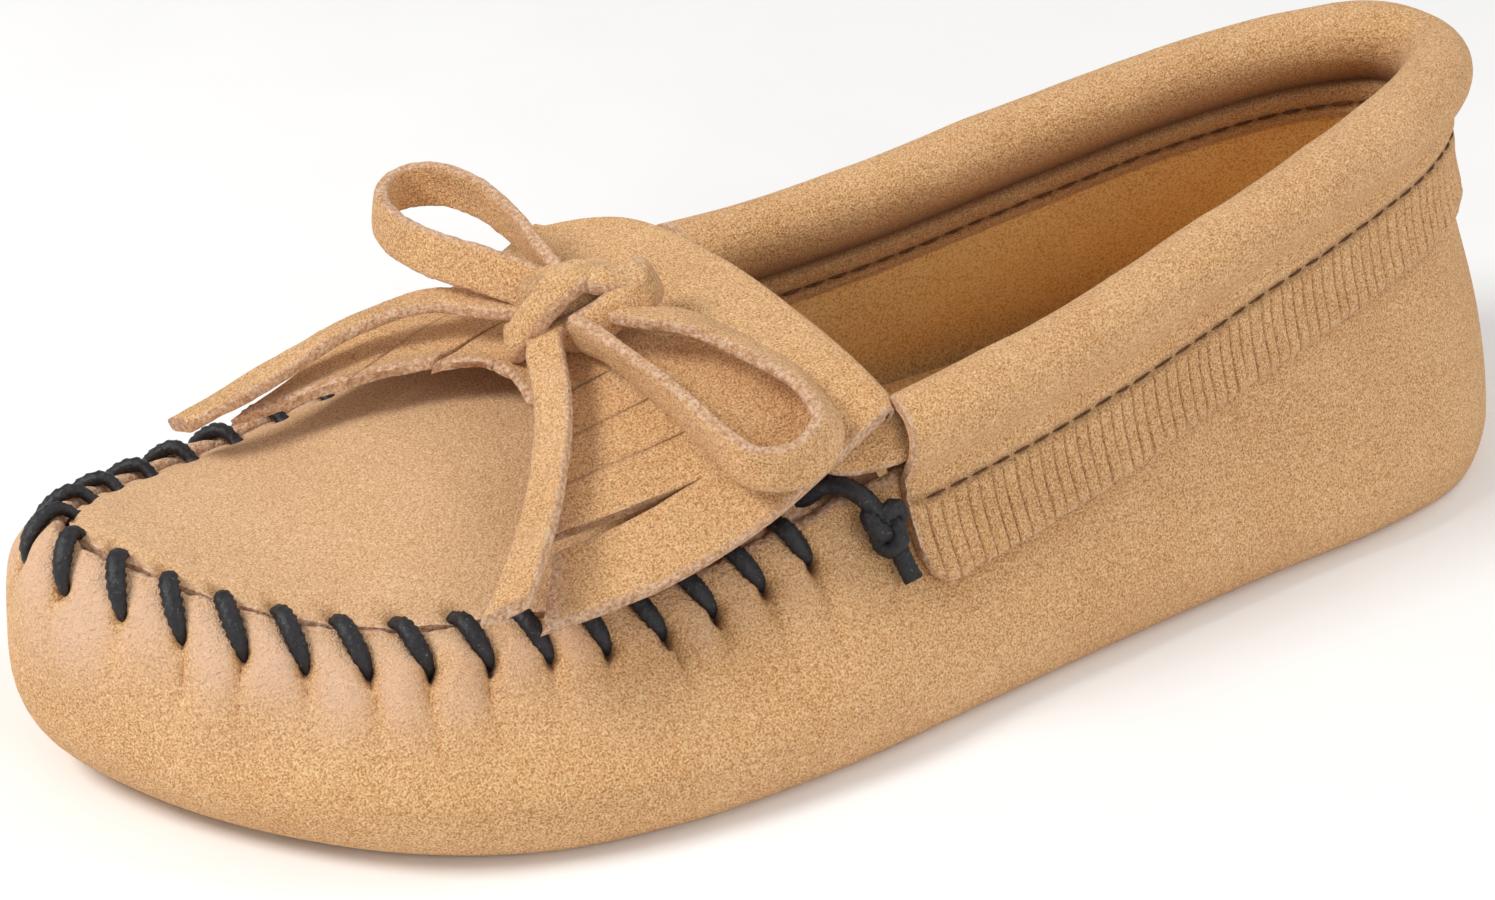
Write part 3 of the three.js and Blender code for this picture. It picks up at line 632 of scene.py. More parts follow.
def suede(name, base, dark, pale, grain=1.0, relief=1.0):
    """Napped leather: fine speckled grain, a little mottling, paler crowns (a painted highlight, partly
    rubbed wear), painted shade where the tone is below 0, and raw cut edges.
    """
    material, tree, shader, coordinate = start_material(name, 0.95, 0.1)
    shader.inputs["Sheen Weight"].default_value = 0.2
    shader.inputs["Sheen Roughness"].default_value = 0.55
    shader.inputs["Sheen Tint"].default_value = (1.0, 0.9, 0.78, 1.0)
    fine = noise_node(tree, coordinate, 3300 * grain, 2.0, 0.6)
    nap = noise_node(tree, coordinate, 1300 * grain, 2.0, 0.5, (1, 0.6, 1.2))
    patch = noise_node(tree, coordinate, 70, 2.0, 0.5)
    mottle = math_node(tree, "MULTIPLY", fine, 0.8)
    mottle = math_node(tree, "ADD", mottle, math_node(tree, "MULTIPLY", nap, 0.12))
    mottle = math_node(tree, "ADD", mottle, math_node(tree, "MULTIPLY", patch, 0.08))
    color = ramp_node(tree, mottle, [(0.36, dark), (0.5, base), (0.63, pale)])
    tone = attribute_node(tree, "tone")
    # tone above 0: painted highlight on crowns and swells, partly wear and random tone
    crown = math_node(tree, "MULTIPLY", tone, 1.0, clamp=True)
    color = mix_node(tree, crown, color, mix_node(tree, fine, CROWN_HIGHLIGHT_AND_WEAR, CROWN_HIGHLIGHT_AND_WEAR_GRAIN))
    # tone below 0: painted shade
    painted_shade = math_node(tree, "MULTIPLY", tone, -0.8, clamp=True)
    color = mix_node(tree, painted_shade, color, PAINTED_SHADE_COLOR)
    raw = attribute_node(tree, "raw")
    fibre = noise_node(tree, coordinate, 1400, 2.0, 0.7)
    fibres = ramp_node(tree, fibre, [(0.36, RAW_DARK), (0.5, RAW_MIDDLE), (0.62, RAW_PALE)])
    color = mix_node(tree, math_node(tree, "MULTIPLY", raw, 0.85, clamp=True), color, fibres)
    tree.links.new(color, shader.inputs["Base Color"])
    normal = bump_node(tree, nap, 0.8, 0.0006 * relief)
    normal = bump_node(tree, fine, 1.0, 0.0005 * relief, normal)
    tree.links.new(normal, shader.inputs["Normal"])
    return material


def waxed_cord_material():
    """Black waxed cord, with a little dust in its braid."""
    material, tree, shader, coordinate = start_material("waxed_cord", 0.5, 0.45)
    strand = noise_node(tree, coordinate, 900, 4.0, 0.7)
    dust = noise_node(tree, coordinate, 2300, 2.0, 0.5)
    color = ramp_node(tree, strand, [(0.3, linear(16, 15, 18)), (0.6, linear(34, 33, 38)),
                                     (0.8, linear(56, 54, 60))])
    speck = ramp_node(tree, dust, [(0.66, (0, 0, 0)), (0.74, (1, 1, 1))])
    color = mix_node(tree, math_node(tree, "MULTIPLY", speck, 0.35), color, linear(150, 140, 135))
    tree.links.new(color, shader.inputs["Base Color"])
    tree.links.new(bump_node(tree, strand, 0.6, 0.0004), shader.inputs["Normal"])
    return material


def thread_material():
    material, tree, shader, coordinate = start_material("brown_thread", 0.75, 0.25)
    strand = noise_node(tree, coordinate, 1600, 3.0, 0.6)
    color = ramp_node(tree, strand, [(0.3, linear(66, 40, 22)), (0.7, linear(124, 84, 52))])
    tree.links.new(color, shader.inputs["Base Color"])
    tree.links.new(bump_node(tree, strand, 0.6, 0.0003), shader.inputs["Normal"])
    return material


def foam_material():
    material, tree, shader, coordinate = start_material("pad_foam", 0.9, 0.2)
    cells = noise_node(tree, coordinate, 1400, 3.0, 0.6)
    color = ramp_node(tree, cells, [(0.35, linear(205, 190, 168)), (0.65, linear(235, 226, 210))])
    tree.links.new(color, shader.inputs["Base Color"])
    tree.links.new(bump_node(tree, cells, 0.5, 0.0003), shader.inputs["Normal"])
    return material


def floor_material():
    material, tree, shader, coordinate = start_material("pale_floor", 0.85, 0.1)
    speck = noise_node(tree, coordinate, 30, 2.0, 0.5)
    color = ramp_node(tree, speck, [(0.3, (0.96, 0.96, 0.96)), (0.7, (0.98, 0.98, 0.98))])
    tree.links.new(color, shader.inputs["Base Color"])
    return material


TAN_SUEDE = suede("tan_suede", linear(231, 178, 121), linear(184, 128, 75), linear(255, 216, 166))
PLUG_SUEDE = suede("plug_suede", linear(216, 172, 126), linear(186, 138, 92), linear(238, 200, 158),
                   relief=0.5)
INNER_SUEDE = suede("inner_suede", linear(250, 206, 140), linear(204, 158, 98), linear(255, 228, 172),
                    grain=0.7, relief=0.6)
WAXED_CORD = waxed_cord_material()
BROWN_THREAD = thread_material()
PAD_FOAM = foam_material()


def dress(obj, *materials):
    for material in materials:
        obj.data.materials.append(material)
    return obj


def finish_piece(obj, body, slot, *nodes):
    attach(obj, body)
    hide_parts(*nodes)
    return obj


# ---- Wrap ----
def sole_rings(edge, count):
    """Rings from an edge in to the middle, all at the edge's height."""
    middle = np.array([*edge[:, :2].mean(0), edge[:, 2].mean()])
    shares = np.linspace(1, 0.02, count)[1:]
    return np.stack([middle + (edge - middle) * s for s in shares], 1)


def tear_edge(k, outer, inner):
    """Makes the wrap's cut top edge ragged, in place."""
    upwards = unit(outer[:, -1] - outer[:, -4])
    torn = 0.35 * noise(outer[:, -1], 1.1, 21) + 0.55 * noise(outer[:, -1], 3.2, 24)
    outer[:, -3:] += torn[:, None, None] * upwards[:, None] * np.array([0.4, 0.7, 1.0])[None, :, None]
    outer[:, -1] -= 0.35 * wall_normal(k, np.ones(len(k)))
    inner[:, -1] += (torn[:, None] * 0.8 + 0.2 * noise(inner[:, -1], 1.1, 22)[:, None]) * upwards


def make_wrap():
    columns = 980
    k = np.linspace(0, COUNT, columns, endpoint=False)[:, None]
    v = np.concatenate([np.linspace(0, WIDE_ROW, 12, endpoint=False),
                        WIDE_ROW + (1 - WIDE_ROW) * np.linspace(0, 1, 58) ** 0.9])[None, :]
    outer, tone = wrap_surface(*np.broadcast_arrays(k, v))
    inner_v = np.linspace(0.0, 1, 30)[None, :]
    inner = wrap_surface(*np.broadcast_arrays(k, inner_v), inside=True)
    inner[..., 2] = np.maximum(inner[..., 2], WRAP_THICK)
    raw = np.zeros_like(tone)
    raw[:, -3:] = (0.35, 0.75, 1.0)
    tone[:, -3:] -= 0.3 + 0.25 * noise(outer[:, -3:], 1.6, 25)
    tear_edge(k[:, 0], outer, inner)
    bottom = sole_rings(outer[:, 0], 10)
    floor_in = sole_rings(inner[:, 0], 10)
    rim_ring = (outer[:, -1:] + inner[:, -1:]) / 2
    rim_ring[..., 2] += 0.45
    grid = np.concatenate([bottom[:, ::-1], outer, rim_ring, inner[:, ::-1], floor_in], axis=1)
    rows = grid.shape[1]
    ids = np.arange(columns * rows).reshape(columns, rows)
    nxt = np.roll(ids, -1, axis=0)
    quads = np.stack([ids[:, :-1], nxt[:, :-1], nxt[:, 1:], ids[:, 1:]], -1).reshape(-1, 4)
    faces = quads.tolist()
    faces.append(ids[::-1, 0].tolist())
    faces.append(ids[:, -1].tolist())
    points = grid.reshape(-1, 3)
    if volume_sign(points, quads.tolist()) < 0:
        faces = [list(reversed(f)) for f in faces]
    zeros = np.zeros((columns, bottom.shape[1]))
    rest = np.zeros((columns, inner.shape[1] + floor_in.shape[1]))
    rim = np.ones((columns, 1))
    inside_raw = rest.copy()
    inside_raw[:, 0] = 1.0
    values = {
        "tone": np.concatenate([zeros, tone, rim * 0, rest], 1),
        "raw": np.concatenate([zeros, raw, rim, inside_raw], 1),
    }
    obj = new_object("wrap_leather", points, faces, values)
    dress(obj, TAN_SUEDE, INNER_SUEDE)
    ring_of = np.concatenate([np.zeros(bottom.shape[1] + outer.shape[1] + 2),
                              np.ones(inner.shape[1] - 2 + floor_in.shape[1])])[:rows - 1]
    index = np.tile(ring_of, columns).astype(np.int32)
    index = np.concatenate([index, [0, 1]]).astype(np.int32)
    obj.data.polygons.foreach_set("material_index", index)
    finish_piece(obj, "shoe", "wrap_suede", "body_wrap")


# ---- Plug ----
PLUG_END = THROAT_OUTER - 0.3
PLUG_INSET = WRAP_THICK * 0.8 + CLEAR
PLUG_CROWN = 4
CROWN_RISE = 7


def seam_point(k):
    point = TOP_EDGE(k / COUNT)
    normal = wall_normal(k, np.ones_like(k))
    normal[..., 2] = 0
    point = point - unit(normal) * PLUG_INSET
    point[..., 2] -= CLEAR
    return point


def plug_top(w, t):
    """The plug's upper side: w runs from the inner side to the outer side, t from toe to throat."""
    w, t = np.broadcast_arrays(w, t)
    k = t * PLUG_END
    point = seam_point(-k) + (seam_point(k) - seam_point(-k)) * w[..., None]
    bow = 1 - (2 * w - 1) ** 2
    rise = PLUG_CROWN * np.sin(np.minimum(1, t * 2.2) * math.pi / 2) + CROWN_RISE * t ** 3
    point[..., 2] += bow * rise
    return point


def make_plug():
    w = (0.5 - 0.5 * np.cos(np.linspace(0, math.pi, 170)))[:, None]
    t = (np.linspace(0.0, 1, 330) ** 1.15)[None, :]
    w, t = np.broadcast_arrays(w, t)
    top = plug_top(w, t).copy()
    edge_gap = np.minimum(np.linalg.norm(top - seam_point(-t * PLUG_END), axis=-1),
                          np.linalg.norm(top - seam_point(t * PLUG_END), axis=-1))
    side = np.where(w > 0.5, 1, -1)
    phase = (turn_at(side * t * PLUG_END) + 0.5) % 1 - 0.5
    dent = np.exp(-(phase * STITCH_PITCH / 1.5) ** 2 - ((edge_gap - 1.0) / 1.8) ** 2)
    top[..., 2] += -0.7 * dent + 0.5 * noise(top, 30, 11) * smooth(edge_gap, 1, 9)
    top[..., 2] += 0.5 * smooth(edge_gap, 0, 4) * (1 - smooth(edge_gap, 4, 12))
    back = top - UP * PLUG_THICK
    # Painted shade in the stitch dents, and paler within 5 mm of the seam
    tone = 0.25 * smooth(edge_gap, 5, 0) - 0.9 * dent
    obj = thick_sheet("plug_leather", top, back, attributes={
        "tone": (tone, tone * 0),
        "raw": (smooth(edge_gap, 0.9, 0.2), tone * 0 + 0.5),
    })
    dress(obj, PLUG_SUEDE)
    finish_piece(obj, "shoe", "plug_suede", "toe_plug")


# ---- Lacing ----
# One turn: how far it has moved on, how far it is across from the plug's hole to the wrap's hole, how
# high its middle stands over the leather's outside, and how full the cord is there.
TURN = [
    (0.0, 0.12, -1.5, 0.7),
    (0.03, 0.19, 0.0, 0.8),
    (0.09, 0.3, 0.85, 0.9),
    (0.2, 0.5, 1.05, 0.92),
    (0.32, 0.72, 0.6, 0.85),
    (0.41, 0.88, -0.3, 0.65),
    (0.47, 0.95, -1.7, 0.5),
    (0.55, 0.85, -3.9, 0.8),
    (0.82, 0.15, -3.9, 1.0),
    (0.97, 0.08, -2.8, 0.9),
]


def lacing_path():
    points = []
    facing = []
    full = []
    for i in range(TURNS):
        tight = 0.35 * (lattice(np.array([i, 0, 0]), 15) - 0.5)
        for move, side, height, fullness in TURN:
            k = station_of_turn(i + move)
            top = wall(k, 1.0)
            normal = wall_normal(k, 1.0)
            along = unit(top - wall(k, 0.97))
            stand = height + (tight if height > 0.5 else 0)
            points.append(top + normal * stand - along * (STITCH_LENGTH * side - STITCH_INSET))
            facing.append(normal)
            full.append((fullness, 0, 0))
    return np.array(points), np.array(facing), np.array(full)


def braided(points, facing, radius, sides=14, flat=1.0):
    """A braided cord along points: its surface swells where strands cross."""
    across, out = path_frames(points, facing)
    angle = np.linspace(0, 2 * math.pi, sides, endpoint=False)
    length = distances(points)
    twist = length[:, None] * 2.2
    strand = np.abs(np.sin(2 * angle[None, :] + twist)) * np.abs(np.sin(2 * angle[None, :] - twist))
    swell = np.broadcast_to(radius, len(points))[:, None] * (0.88 + 0.26 * strand)
    x = np.cos(angle)[None, :, None] * swell[..., None]
    y = np.sin(angle)[None, :, None] * swell[..., None] * flat
    return points[:, None] + across[:, None] * x + out[:, None] * y


def make_lacing():
    points, facing, full = lacing_path()
    path = open_curve(points)
    turned = open_curve(facing)
    fullness = open_curve(full)
    u, _ = even_steps(path, 0.36)
    radius = CORD_DIAMETER / 2 * fullness(u)[:, 0]
    grid = braided(path(u), unit(turned(u)), radius, CORD_SIDES, CORD_FLAT)
    obj = joined("toe_lacing_cord", [(grid, tube_faces(len(u), CORD_SIDES))])
    dress(obj, WAXED_CORD)
    finish_piece(obj, "shoe", "waxed_cord", "toe_lacing")


KNOT_SIZE = 2.1
CORD_SIDES = 14
CORD_FLAT = 0.78  # the whipped cord is pressed flat


def overhand_knot(centre, radius, across, along, out):
    """A small overhand knot: a cord's closed turns round one another."""
    t = np.linspace(0, 2 * math.pi, 90)
    x = (np.sin(t) + 2 * np.sin(2 * t)) * 0.42
    y = (np.cos(t) - 2 * np.cos(2 * t)) * 0.42
    z = -np.sin(3 * t) * 0.45
    return centre + radius * (x[:, None] * across + y[:, None] * along + z[:, None] * out)


def make_lacing_end(side, name, node_name):
    k = THROAT_OUTER - 0.55 if side > 0 else THROAT_INNER + 0.55
    centre = off_wall(k, 0.88, CORD_DIAMETER + CLEAR)
    out = wall_normal(k, 0.88)
    along = unit(wall(k, 0.92) - wall(k, 0.84))
    across = unit(np.cross(along, out))
    level = unit(out * np.array([1.0, 1.0, 0.0]))
    parts = []
    radius = CORD_DIAMETER / 2 * 0.95
    knot = overhand_knot(centre, KNOT_SIZE, across, along * 1.2, out)
    facing = np.broadcast_to(out, knot.shape) + 0.01 * across
    parts.append((braided(knot, unit(facing), radius, 12), tube_faces(len(knot), 12)))
    lead = np.array([
        off_wall(k - side * 0.75, 1.0, -1.5) - level * 3 + UP * 0.5,
        off_wall(k - side * 0.5, 1.0, 1.2) - level * 2 + UP * 2.2,
        off_wall(k - side * 0.24, 0.98, 2.6) + UP * 1.2,
        centre,
    ])
    tail = np.array([
        centre,
        off_wall(k + side * 0.08, 0.8, 2.9),
        off_wall(k + side * 0.13, 0.74, 2.3),
        off_wall(k + side * 0.18, 0.66, 2.2),
    ])
    for stretch in (lead, tail):
        path = open_curve(stretch)
        u, _ = even_steps(path, 0.42)
        rings = braided(path(u), np.broadcast_to(out, (len(u), 3)), radius, 12)
        parts.append((rings, tube_faces(len(u), 12)))
    obj = joined(name, parts)
    dress(obj, WAXED_CORD)
    finish_piece(obj, "shoe", "waxed_cord", node_name)


# ---- Collar ----
ROLL_STAND = 0.1
ROLL_LIFT = ROLL_RADIUS + ROLL_STAND
COLLAR_FIRST = THROAT_OUTER - 0.15
COLLAR_LAST = THROAT_INNER + 0.15
LEGS = 0.25  # share of the strip in the skirt, and in the facing
GAP = 42  # degrees left open on each side under the roll
NECK_DROP = 0.6
CUT_PITCH = 2.35
CORNER = 5  # radius of the skirt's ends


def roll_centre(k):
    k = np.asarray(k, float)
    centre = off_wall(k, np.ones_like(k), -WRAP_THICK / 2 * np.ones_like(k))
    centre[..., 2] += ROLL_LIFT
    return centre


def collar_surface(k, t, out, skirt_trim=0.0):
    """The collar strip's middle line at t, 0 at the skirt's edge and 1 at the facing's edge."""
    k, t = np.broadcast_arrays(k, t)
    out = np.broadcast_to(out, k.shape)
    centre = roll_centre(k)
    half = COLLAR_THICK / 2
    neck = centre[..., 2] - ROLL_LIFT - NECK_DROP
    low = centre[..., 2] - SKIRT_DROP + skirt_trim
    z = np.where(t <= 0.5, low + (neck - low) * np.clip(t / LEGS, 0, 1),
                 neck - (neck - centre[..., 2] + FACING_DROP) * np.clip((t - 1 + LEGS) / LEGS, 0, 1))
    row = row_at_height(k, z)
    stand = np.where(t <= 0.5, CLEAR + half + out, -WRAP_THICK - CLEAR - half - out)
    leg = off_wall(k, row, stand)
    normal = wall_normal(k, np.ones_like(k))
    normal[..., 2] = 0
    level = unit(normal)
    share = np.clip((t - LEGS) / (1 - 2 * LEGS), 0, 1)
    angle = np.radians(-90 + GAP + (360 - 2 * GAP) * share)
    radius = ROLL_RADIUS - half + out
    round_part = centre + level * (radius * np.cos(angle))[..., None]
    round_part[..., 2] += radius * np.sin(angle)
    on_leg = (t <= LEGS) | (t >= 1 - LEGS)
    return np.where(on_leg[..., None], leg, round_part)


def collar_columns():
    """Stations of the collar's columns, close together at each cut of the fringe, and the distance of
    each from the nearest cut."""
    k = np.linspace(COLLAR_FIRST, COLLAR_LAST, 2000)
    length = distances(TOP_EDGE(k / COUNT))
    cuts = np.arange(CUT_PITCH * 1.3, length[-1] - CUT_PITCH, CUT_PITCH)
    cuts = cuts + 0.28 * noise(column(cuts), 1.7, 31)
    offsets = np.array([-0.34, -0.17, 0.0, 0.17, 0.34, 0.85, 1.4])
    places = np.concatenate([[0, 0.9], (cuts[:, None] + offsets).ravel(), [length[-1]]])
    places = np.unique(np.clip(places, 0, length[-1]))
    nearest = np.min(np.abs(places[:, None] - cuts[None, :]), axis=1)
    strip = np.searchsorted(cuts, places)
    return np.interp(places, length, k), nearest, strip, places, length[-1]


def make_collar():
    k, nearest, strip, places, total = collar_columns()
    t = np.concatenate([np.linspace(0, LEGS, 18, endpoint=False),
                        np.linspace(LEGS, 1 - LEGS, 26, endpoint=False),
                        np.linspace(1 - LEGS, 1, 9)])
    kk, tt = np.meshgrid(k, t, indexing="ij")
    on_skirt = smooth(tt, LEGS * 0.73, LEGS * 0.64)
    cut = np.exp(-(nearest[:, None] / 0.15) ** 2) * on_skirt
    cell = number_cells(strip)
    loose = (lattice(cell, 41) - 0.5)[:, None] * smooth(tt, LEGS * 0.5, 0)
    end = np.minimum(places, total - places)
    corner = CORNER - np.sqrt(np.maximum(0, CORNER ** 2 - np.maximum(0, CORNER - end) ** 2))
    trim = (corner + 0.28 * (lattice(cell, 43) - 0.5))[:, None]
    around = roll_centre(kk)
    plump = smooth(tt, LEGS * 0.95, LEGS * 1.4) * smooth(tt, 1 - LEGS * 0.95, 1 - LEGS * 1.4)
    swell = plump * (0.42 * noise(around + tt[..., None] * 14, 17, 45)
                     + 0.16 * noise(around + tt[..., None] * 20, 6, 46))
    seam_t = LEGS * (SKIRT_DROP - COLLAR_STITCH_DROP) / (SKIRT_DROP - ROLL_LIFT - NECK_DROP)
    seam = np.exp(-((tt - seam_t) / 0.011) ** 2)
    inner_drop = (FACING_DROP - COLLAR_STITCH_DROP) / (FACING_DROP - ROLL_LIFT - NECK_DROP)
    inner_seam_t = 1 - LEGS * inner_drop
    inner_seam = np.exp(-((tt - inner_seam_t) / 0.02) ** 2)
    puff = np.exp(-((tt - seam_t - 0.028) / 0.02) ** 2)
    puff = puff + 0.5 * np.exp(-((tt - seam_t + 0.028) / 0.02) ** 2)
    crease = np.exp(-((tt - (1 - LEGS * 0.99)) / 0.014) ** 2)
    flare = 0.3 * smooth(tt, LEGS * 0.5, 0)
    out = swell + flare - 1.1 * crease + 0.2 * loose - 0.34 * cut
    out = out - 0.6 * seam - 0.5 * inner_seam + 0.25 * puff
    half = COLLAR_THICK / 2
    edge_round = 0.35 * (smooth(tt, 0.006, 0) + smooth(tt, 0.99, 1))
    front = collar_surface(kk, tt, half + out - edge_round, trim)
    back = collar_surface(kk, tt, -half + 0.5 * swell + flare + edge_round, trim)
    ragged = 0.16 * noise(front, 0.9, 47)[..., None] * smooth(tt, 0.008, 0)[..., None] * UP
    front = front + ragged
    back = back + ragged
    # Painted shade in the fringe cuts, along the sunk seams and in the crease under the roll; a little
    # darker on the skirt
    tone = -0.4 * cut - 0.7 * seam - 0.7 * inner_seam - 0.05 * on_skirt - 1.0 * crease
    # Painted shade under the roll and on the facing inside the shoe; the swells paler, a painted highlight
    under = smooth(tt, 0.6, 0.74) * smooth(tt, 1 - LEGS * 0.9, 0.72)
    tone = tone + 0.2 * np.clip(swell, -1, 1) - 0.4 * under - 0.4 * smooth(tt, 0.74, 0.78)
    raw = 0.5 * smooth(tt, 0.01, 0.002) + smooth(tt, 0.985, 0.995)
    ends = smooth(end, 0.8, 0)[:, None]
    raw = np.maximum(raw, ends)
    obj = thick_sheet("collar_leather", front, back,
                      attributes={"tone": (tone, tone * 0), "raw": (raw, raw * 0.3)})
    dress(obj, TAN_SUEDE)
    finish_piece(obj, "shoe", "collar_suede", "collar_binding")


def running_stitch(points, normals, stitch, gap, radius):
    """Separate stitches of thread along a seam, each sunk in at both ends."""
    length = distances(points)
    parts = []
    start = 1.5
    number = 0
    while start + stitch < length[-1]:
        cell = np.array([number, 0, 0])
        size = stitch * (0.85 + 0.3 * lattice(cell, 51))
        along = np.linspace(start, start + size, 9)
        middle = np.stack([np.interp(along, length, points[:, i]) for i in range(3)], 1)
        normal = unit(np.stack([np.interp(along, length, normals[:, i]) for i in range(3)], 1))
        arch = np.sin(np.linspace(0, math.pi, 9))
        middle = middle + normal * (0.36 * arch - 0.5)[:, None]
        across, out = path_frames(middle, normal)
        taper = radius * (0.45 + 0.55 * arch ** 0.4)
        parts.append((swept(middle, across, out, taper, taper, 8), tube_faces(9, 8)))
        start += size + gap
        number += 1
    return parts


def make_collar_thread(side, name, node_name):
    k = np.linspace(COLLAR_FIRST + 0.12, COLLAR_LAST - 0.12, 700)
    z = roll_centre(k)[:, 2] - COLLAR_STITCH_DROP
    row = row_at_height(k, z)
    stand = CLEAR + COLLAR_THICK + 0.05
    out = stand if side > 0 else -WRAP_THICK - stand
    points = off_wall(k, row, np.full_like(k, out))
    normals = wall_normal(k, row) * side
    points = points + 0.16 * noise(points, 4, 53)[:, None] * UP
    radius = THREAD_DIAMETER / 2 * (0.42 if side > 0 else 0.55)
    parts = running_stitch(points, normals, 3.4, 0.7, radius)
    obj = joined(name, parts)
    dress(obj, BROWN_THREAD)
    finish_piece(obj, "shoe", "brown_thread", node_name)


# ---- Flap with its fringe ----
FOLD = at([(-39, -26, 48), (-27, -18.4, 52), (-8, -13, 52.6), (12, -10.4, 51), (27.5, -9, 48.2),
           (36, -8, 45)])
CREASE = at([(-34.5, -37, 45), (-21, -31, 48.2), (-5, -29, 49.8), (13, -29, 48.4), (28, -30, 43.5),
             (40.5, -30, 35.5)])
ROOTS = at([(-31, -59, 41.8), (-20, -47, 45), (-6, -42, 46.3), (12, -42, 45), (28, -44, 40.3),
            (43.6, -46, 33)])
TIPS = at([(-18, -88, 37.8), (-14.5, -61, 42), (-7, -50.5, 44), (11, -50, 42), (28, -57, 37.5),
           (44.5, -67, 31.5)])
FLAP_ROWS = [open_curve(row) for row in (FOLD, CREASE, ROOTS, TIPS)]
FLAP_WIDTH = 82.0
# Each cut: its place across the flap, where it starts down the flap, and how far it gapes in front.
SLITS = [(0.14, 0.6, 0.5), (0.28, 0.6, 0.3), (0.42, 0.6, 0.2), (0.56, 0.54, 0.75), (0.66, 0.47, 0.15),
         (0.76, 0.42, 0.3), (0.86, 0.46, 3.4)]
# How far each strip between the cuts stands up at its tip.
STRIP_LIFT = (0.2, 0.7, 0.2, 0.6, 0.0, 0.5, 1.4, -0.9)
FOLD_RADIUS = 1.9


def flap_surface(w, t):
    """The flap's upper side: w runs from the inner side to the outer side, t from the fold to the tips."""
    w, t = np.broadcast_arrays(w, t)
    rows = [row(w) for row in FLAP_ROWS]
    ends = np.stack([2 * rows[0] - rows[1], *rows, 2 * rows[-1] - rows[-2]])
    x = np.clip(t, 0, 1) * 3
    i = np.minimum(np.floor(x).astype(int), 2)
    pick = [np.take_along_axis(ends, (i + n)[None, ..., None], 0)[0] for n in range(4)]
    return catmull(*pick, x - i)


def flap_normal(w, t):
    w, t = np.broadcast_arrays(w, t)
    across = flap_surface(np.minimum(1, w + 0.01), t) - flap_surface(np.maximum(0, w - 0.01), t)
    along = flap_surface(w, np.minimum(1, t + 0.01)) - flap_surface(w, np.maximum(0, t - 0.01))
    normal = unit(np.cross(along, across))
    return np.where(normal[..., 2:3] < 0, -normal, normal)


def flap_columns():
    """Places across the flap, with a pair at each cut: the place, its side of the cut, and the cut's start
    and width."""
    places = np.array([slit[0] for slit in SLITS])
    starts = np.array([slit[1] for slit in SLITS])
    columns = []
    for place in np.linspace(0, 1, 151):
        if np.abs(places - place).min() > 0.004:
            columns.append((place, 0, np.interp(place, places, starts), 0.0))
    for place, start, gape in SLITS:
        columns += [(place, -1, start, gape), (place, 1, start, gape)]
    columns.sort(key=lambda column: (column[0], column[1]))
    return (np.array(values) for values in zip(*columns))


def fold_roll(middle, normal, stand, border):
    """The turned edge behind the flap: rings from under the flap round to its first row."""
    turn = np.radians(np.linspace(200, 0, 26, endpoint=False))
    start = middle[:, 0] + normal[:, 0] * (stand[:, 0] - FLAP_THICK / 2)[:, None]
    forward = unit(middle[:, 2] - middle[:, 0])
    outward = unit(np.cross(np.cross(forward, normal[:, 0]), forward))
    outward = np.where(outward[:, 2:3] < 0, -outward, outward)
    radius = (FOLD_RADIUS * (0.25 + 0.75 * smooth(border, 0, 6)))[:, None]
    centre = start - outward * radius

    def ring(r):
        return (centre[:, None] + outward[:, None] * (r * np.cos(turn)[None])[..., None]
                - forward[:, None] * (r * np.sin(turn)[None])[..., None])

    return ring(radius + FLAP_THICK / 2), ring(radius - FLAP_THICK / 2)


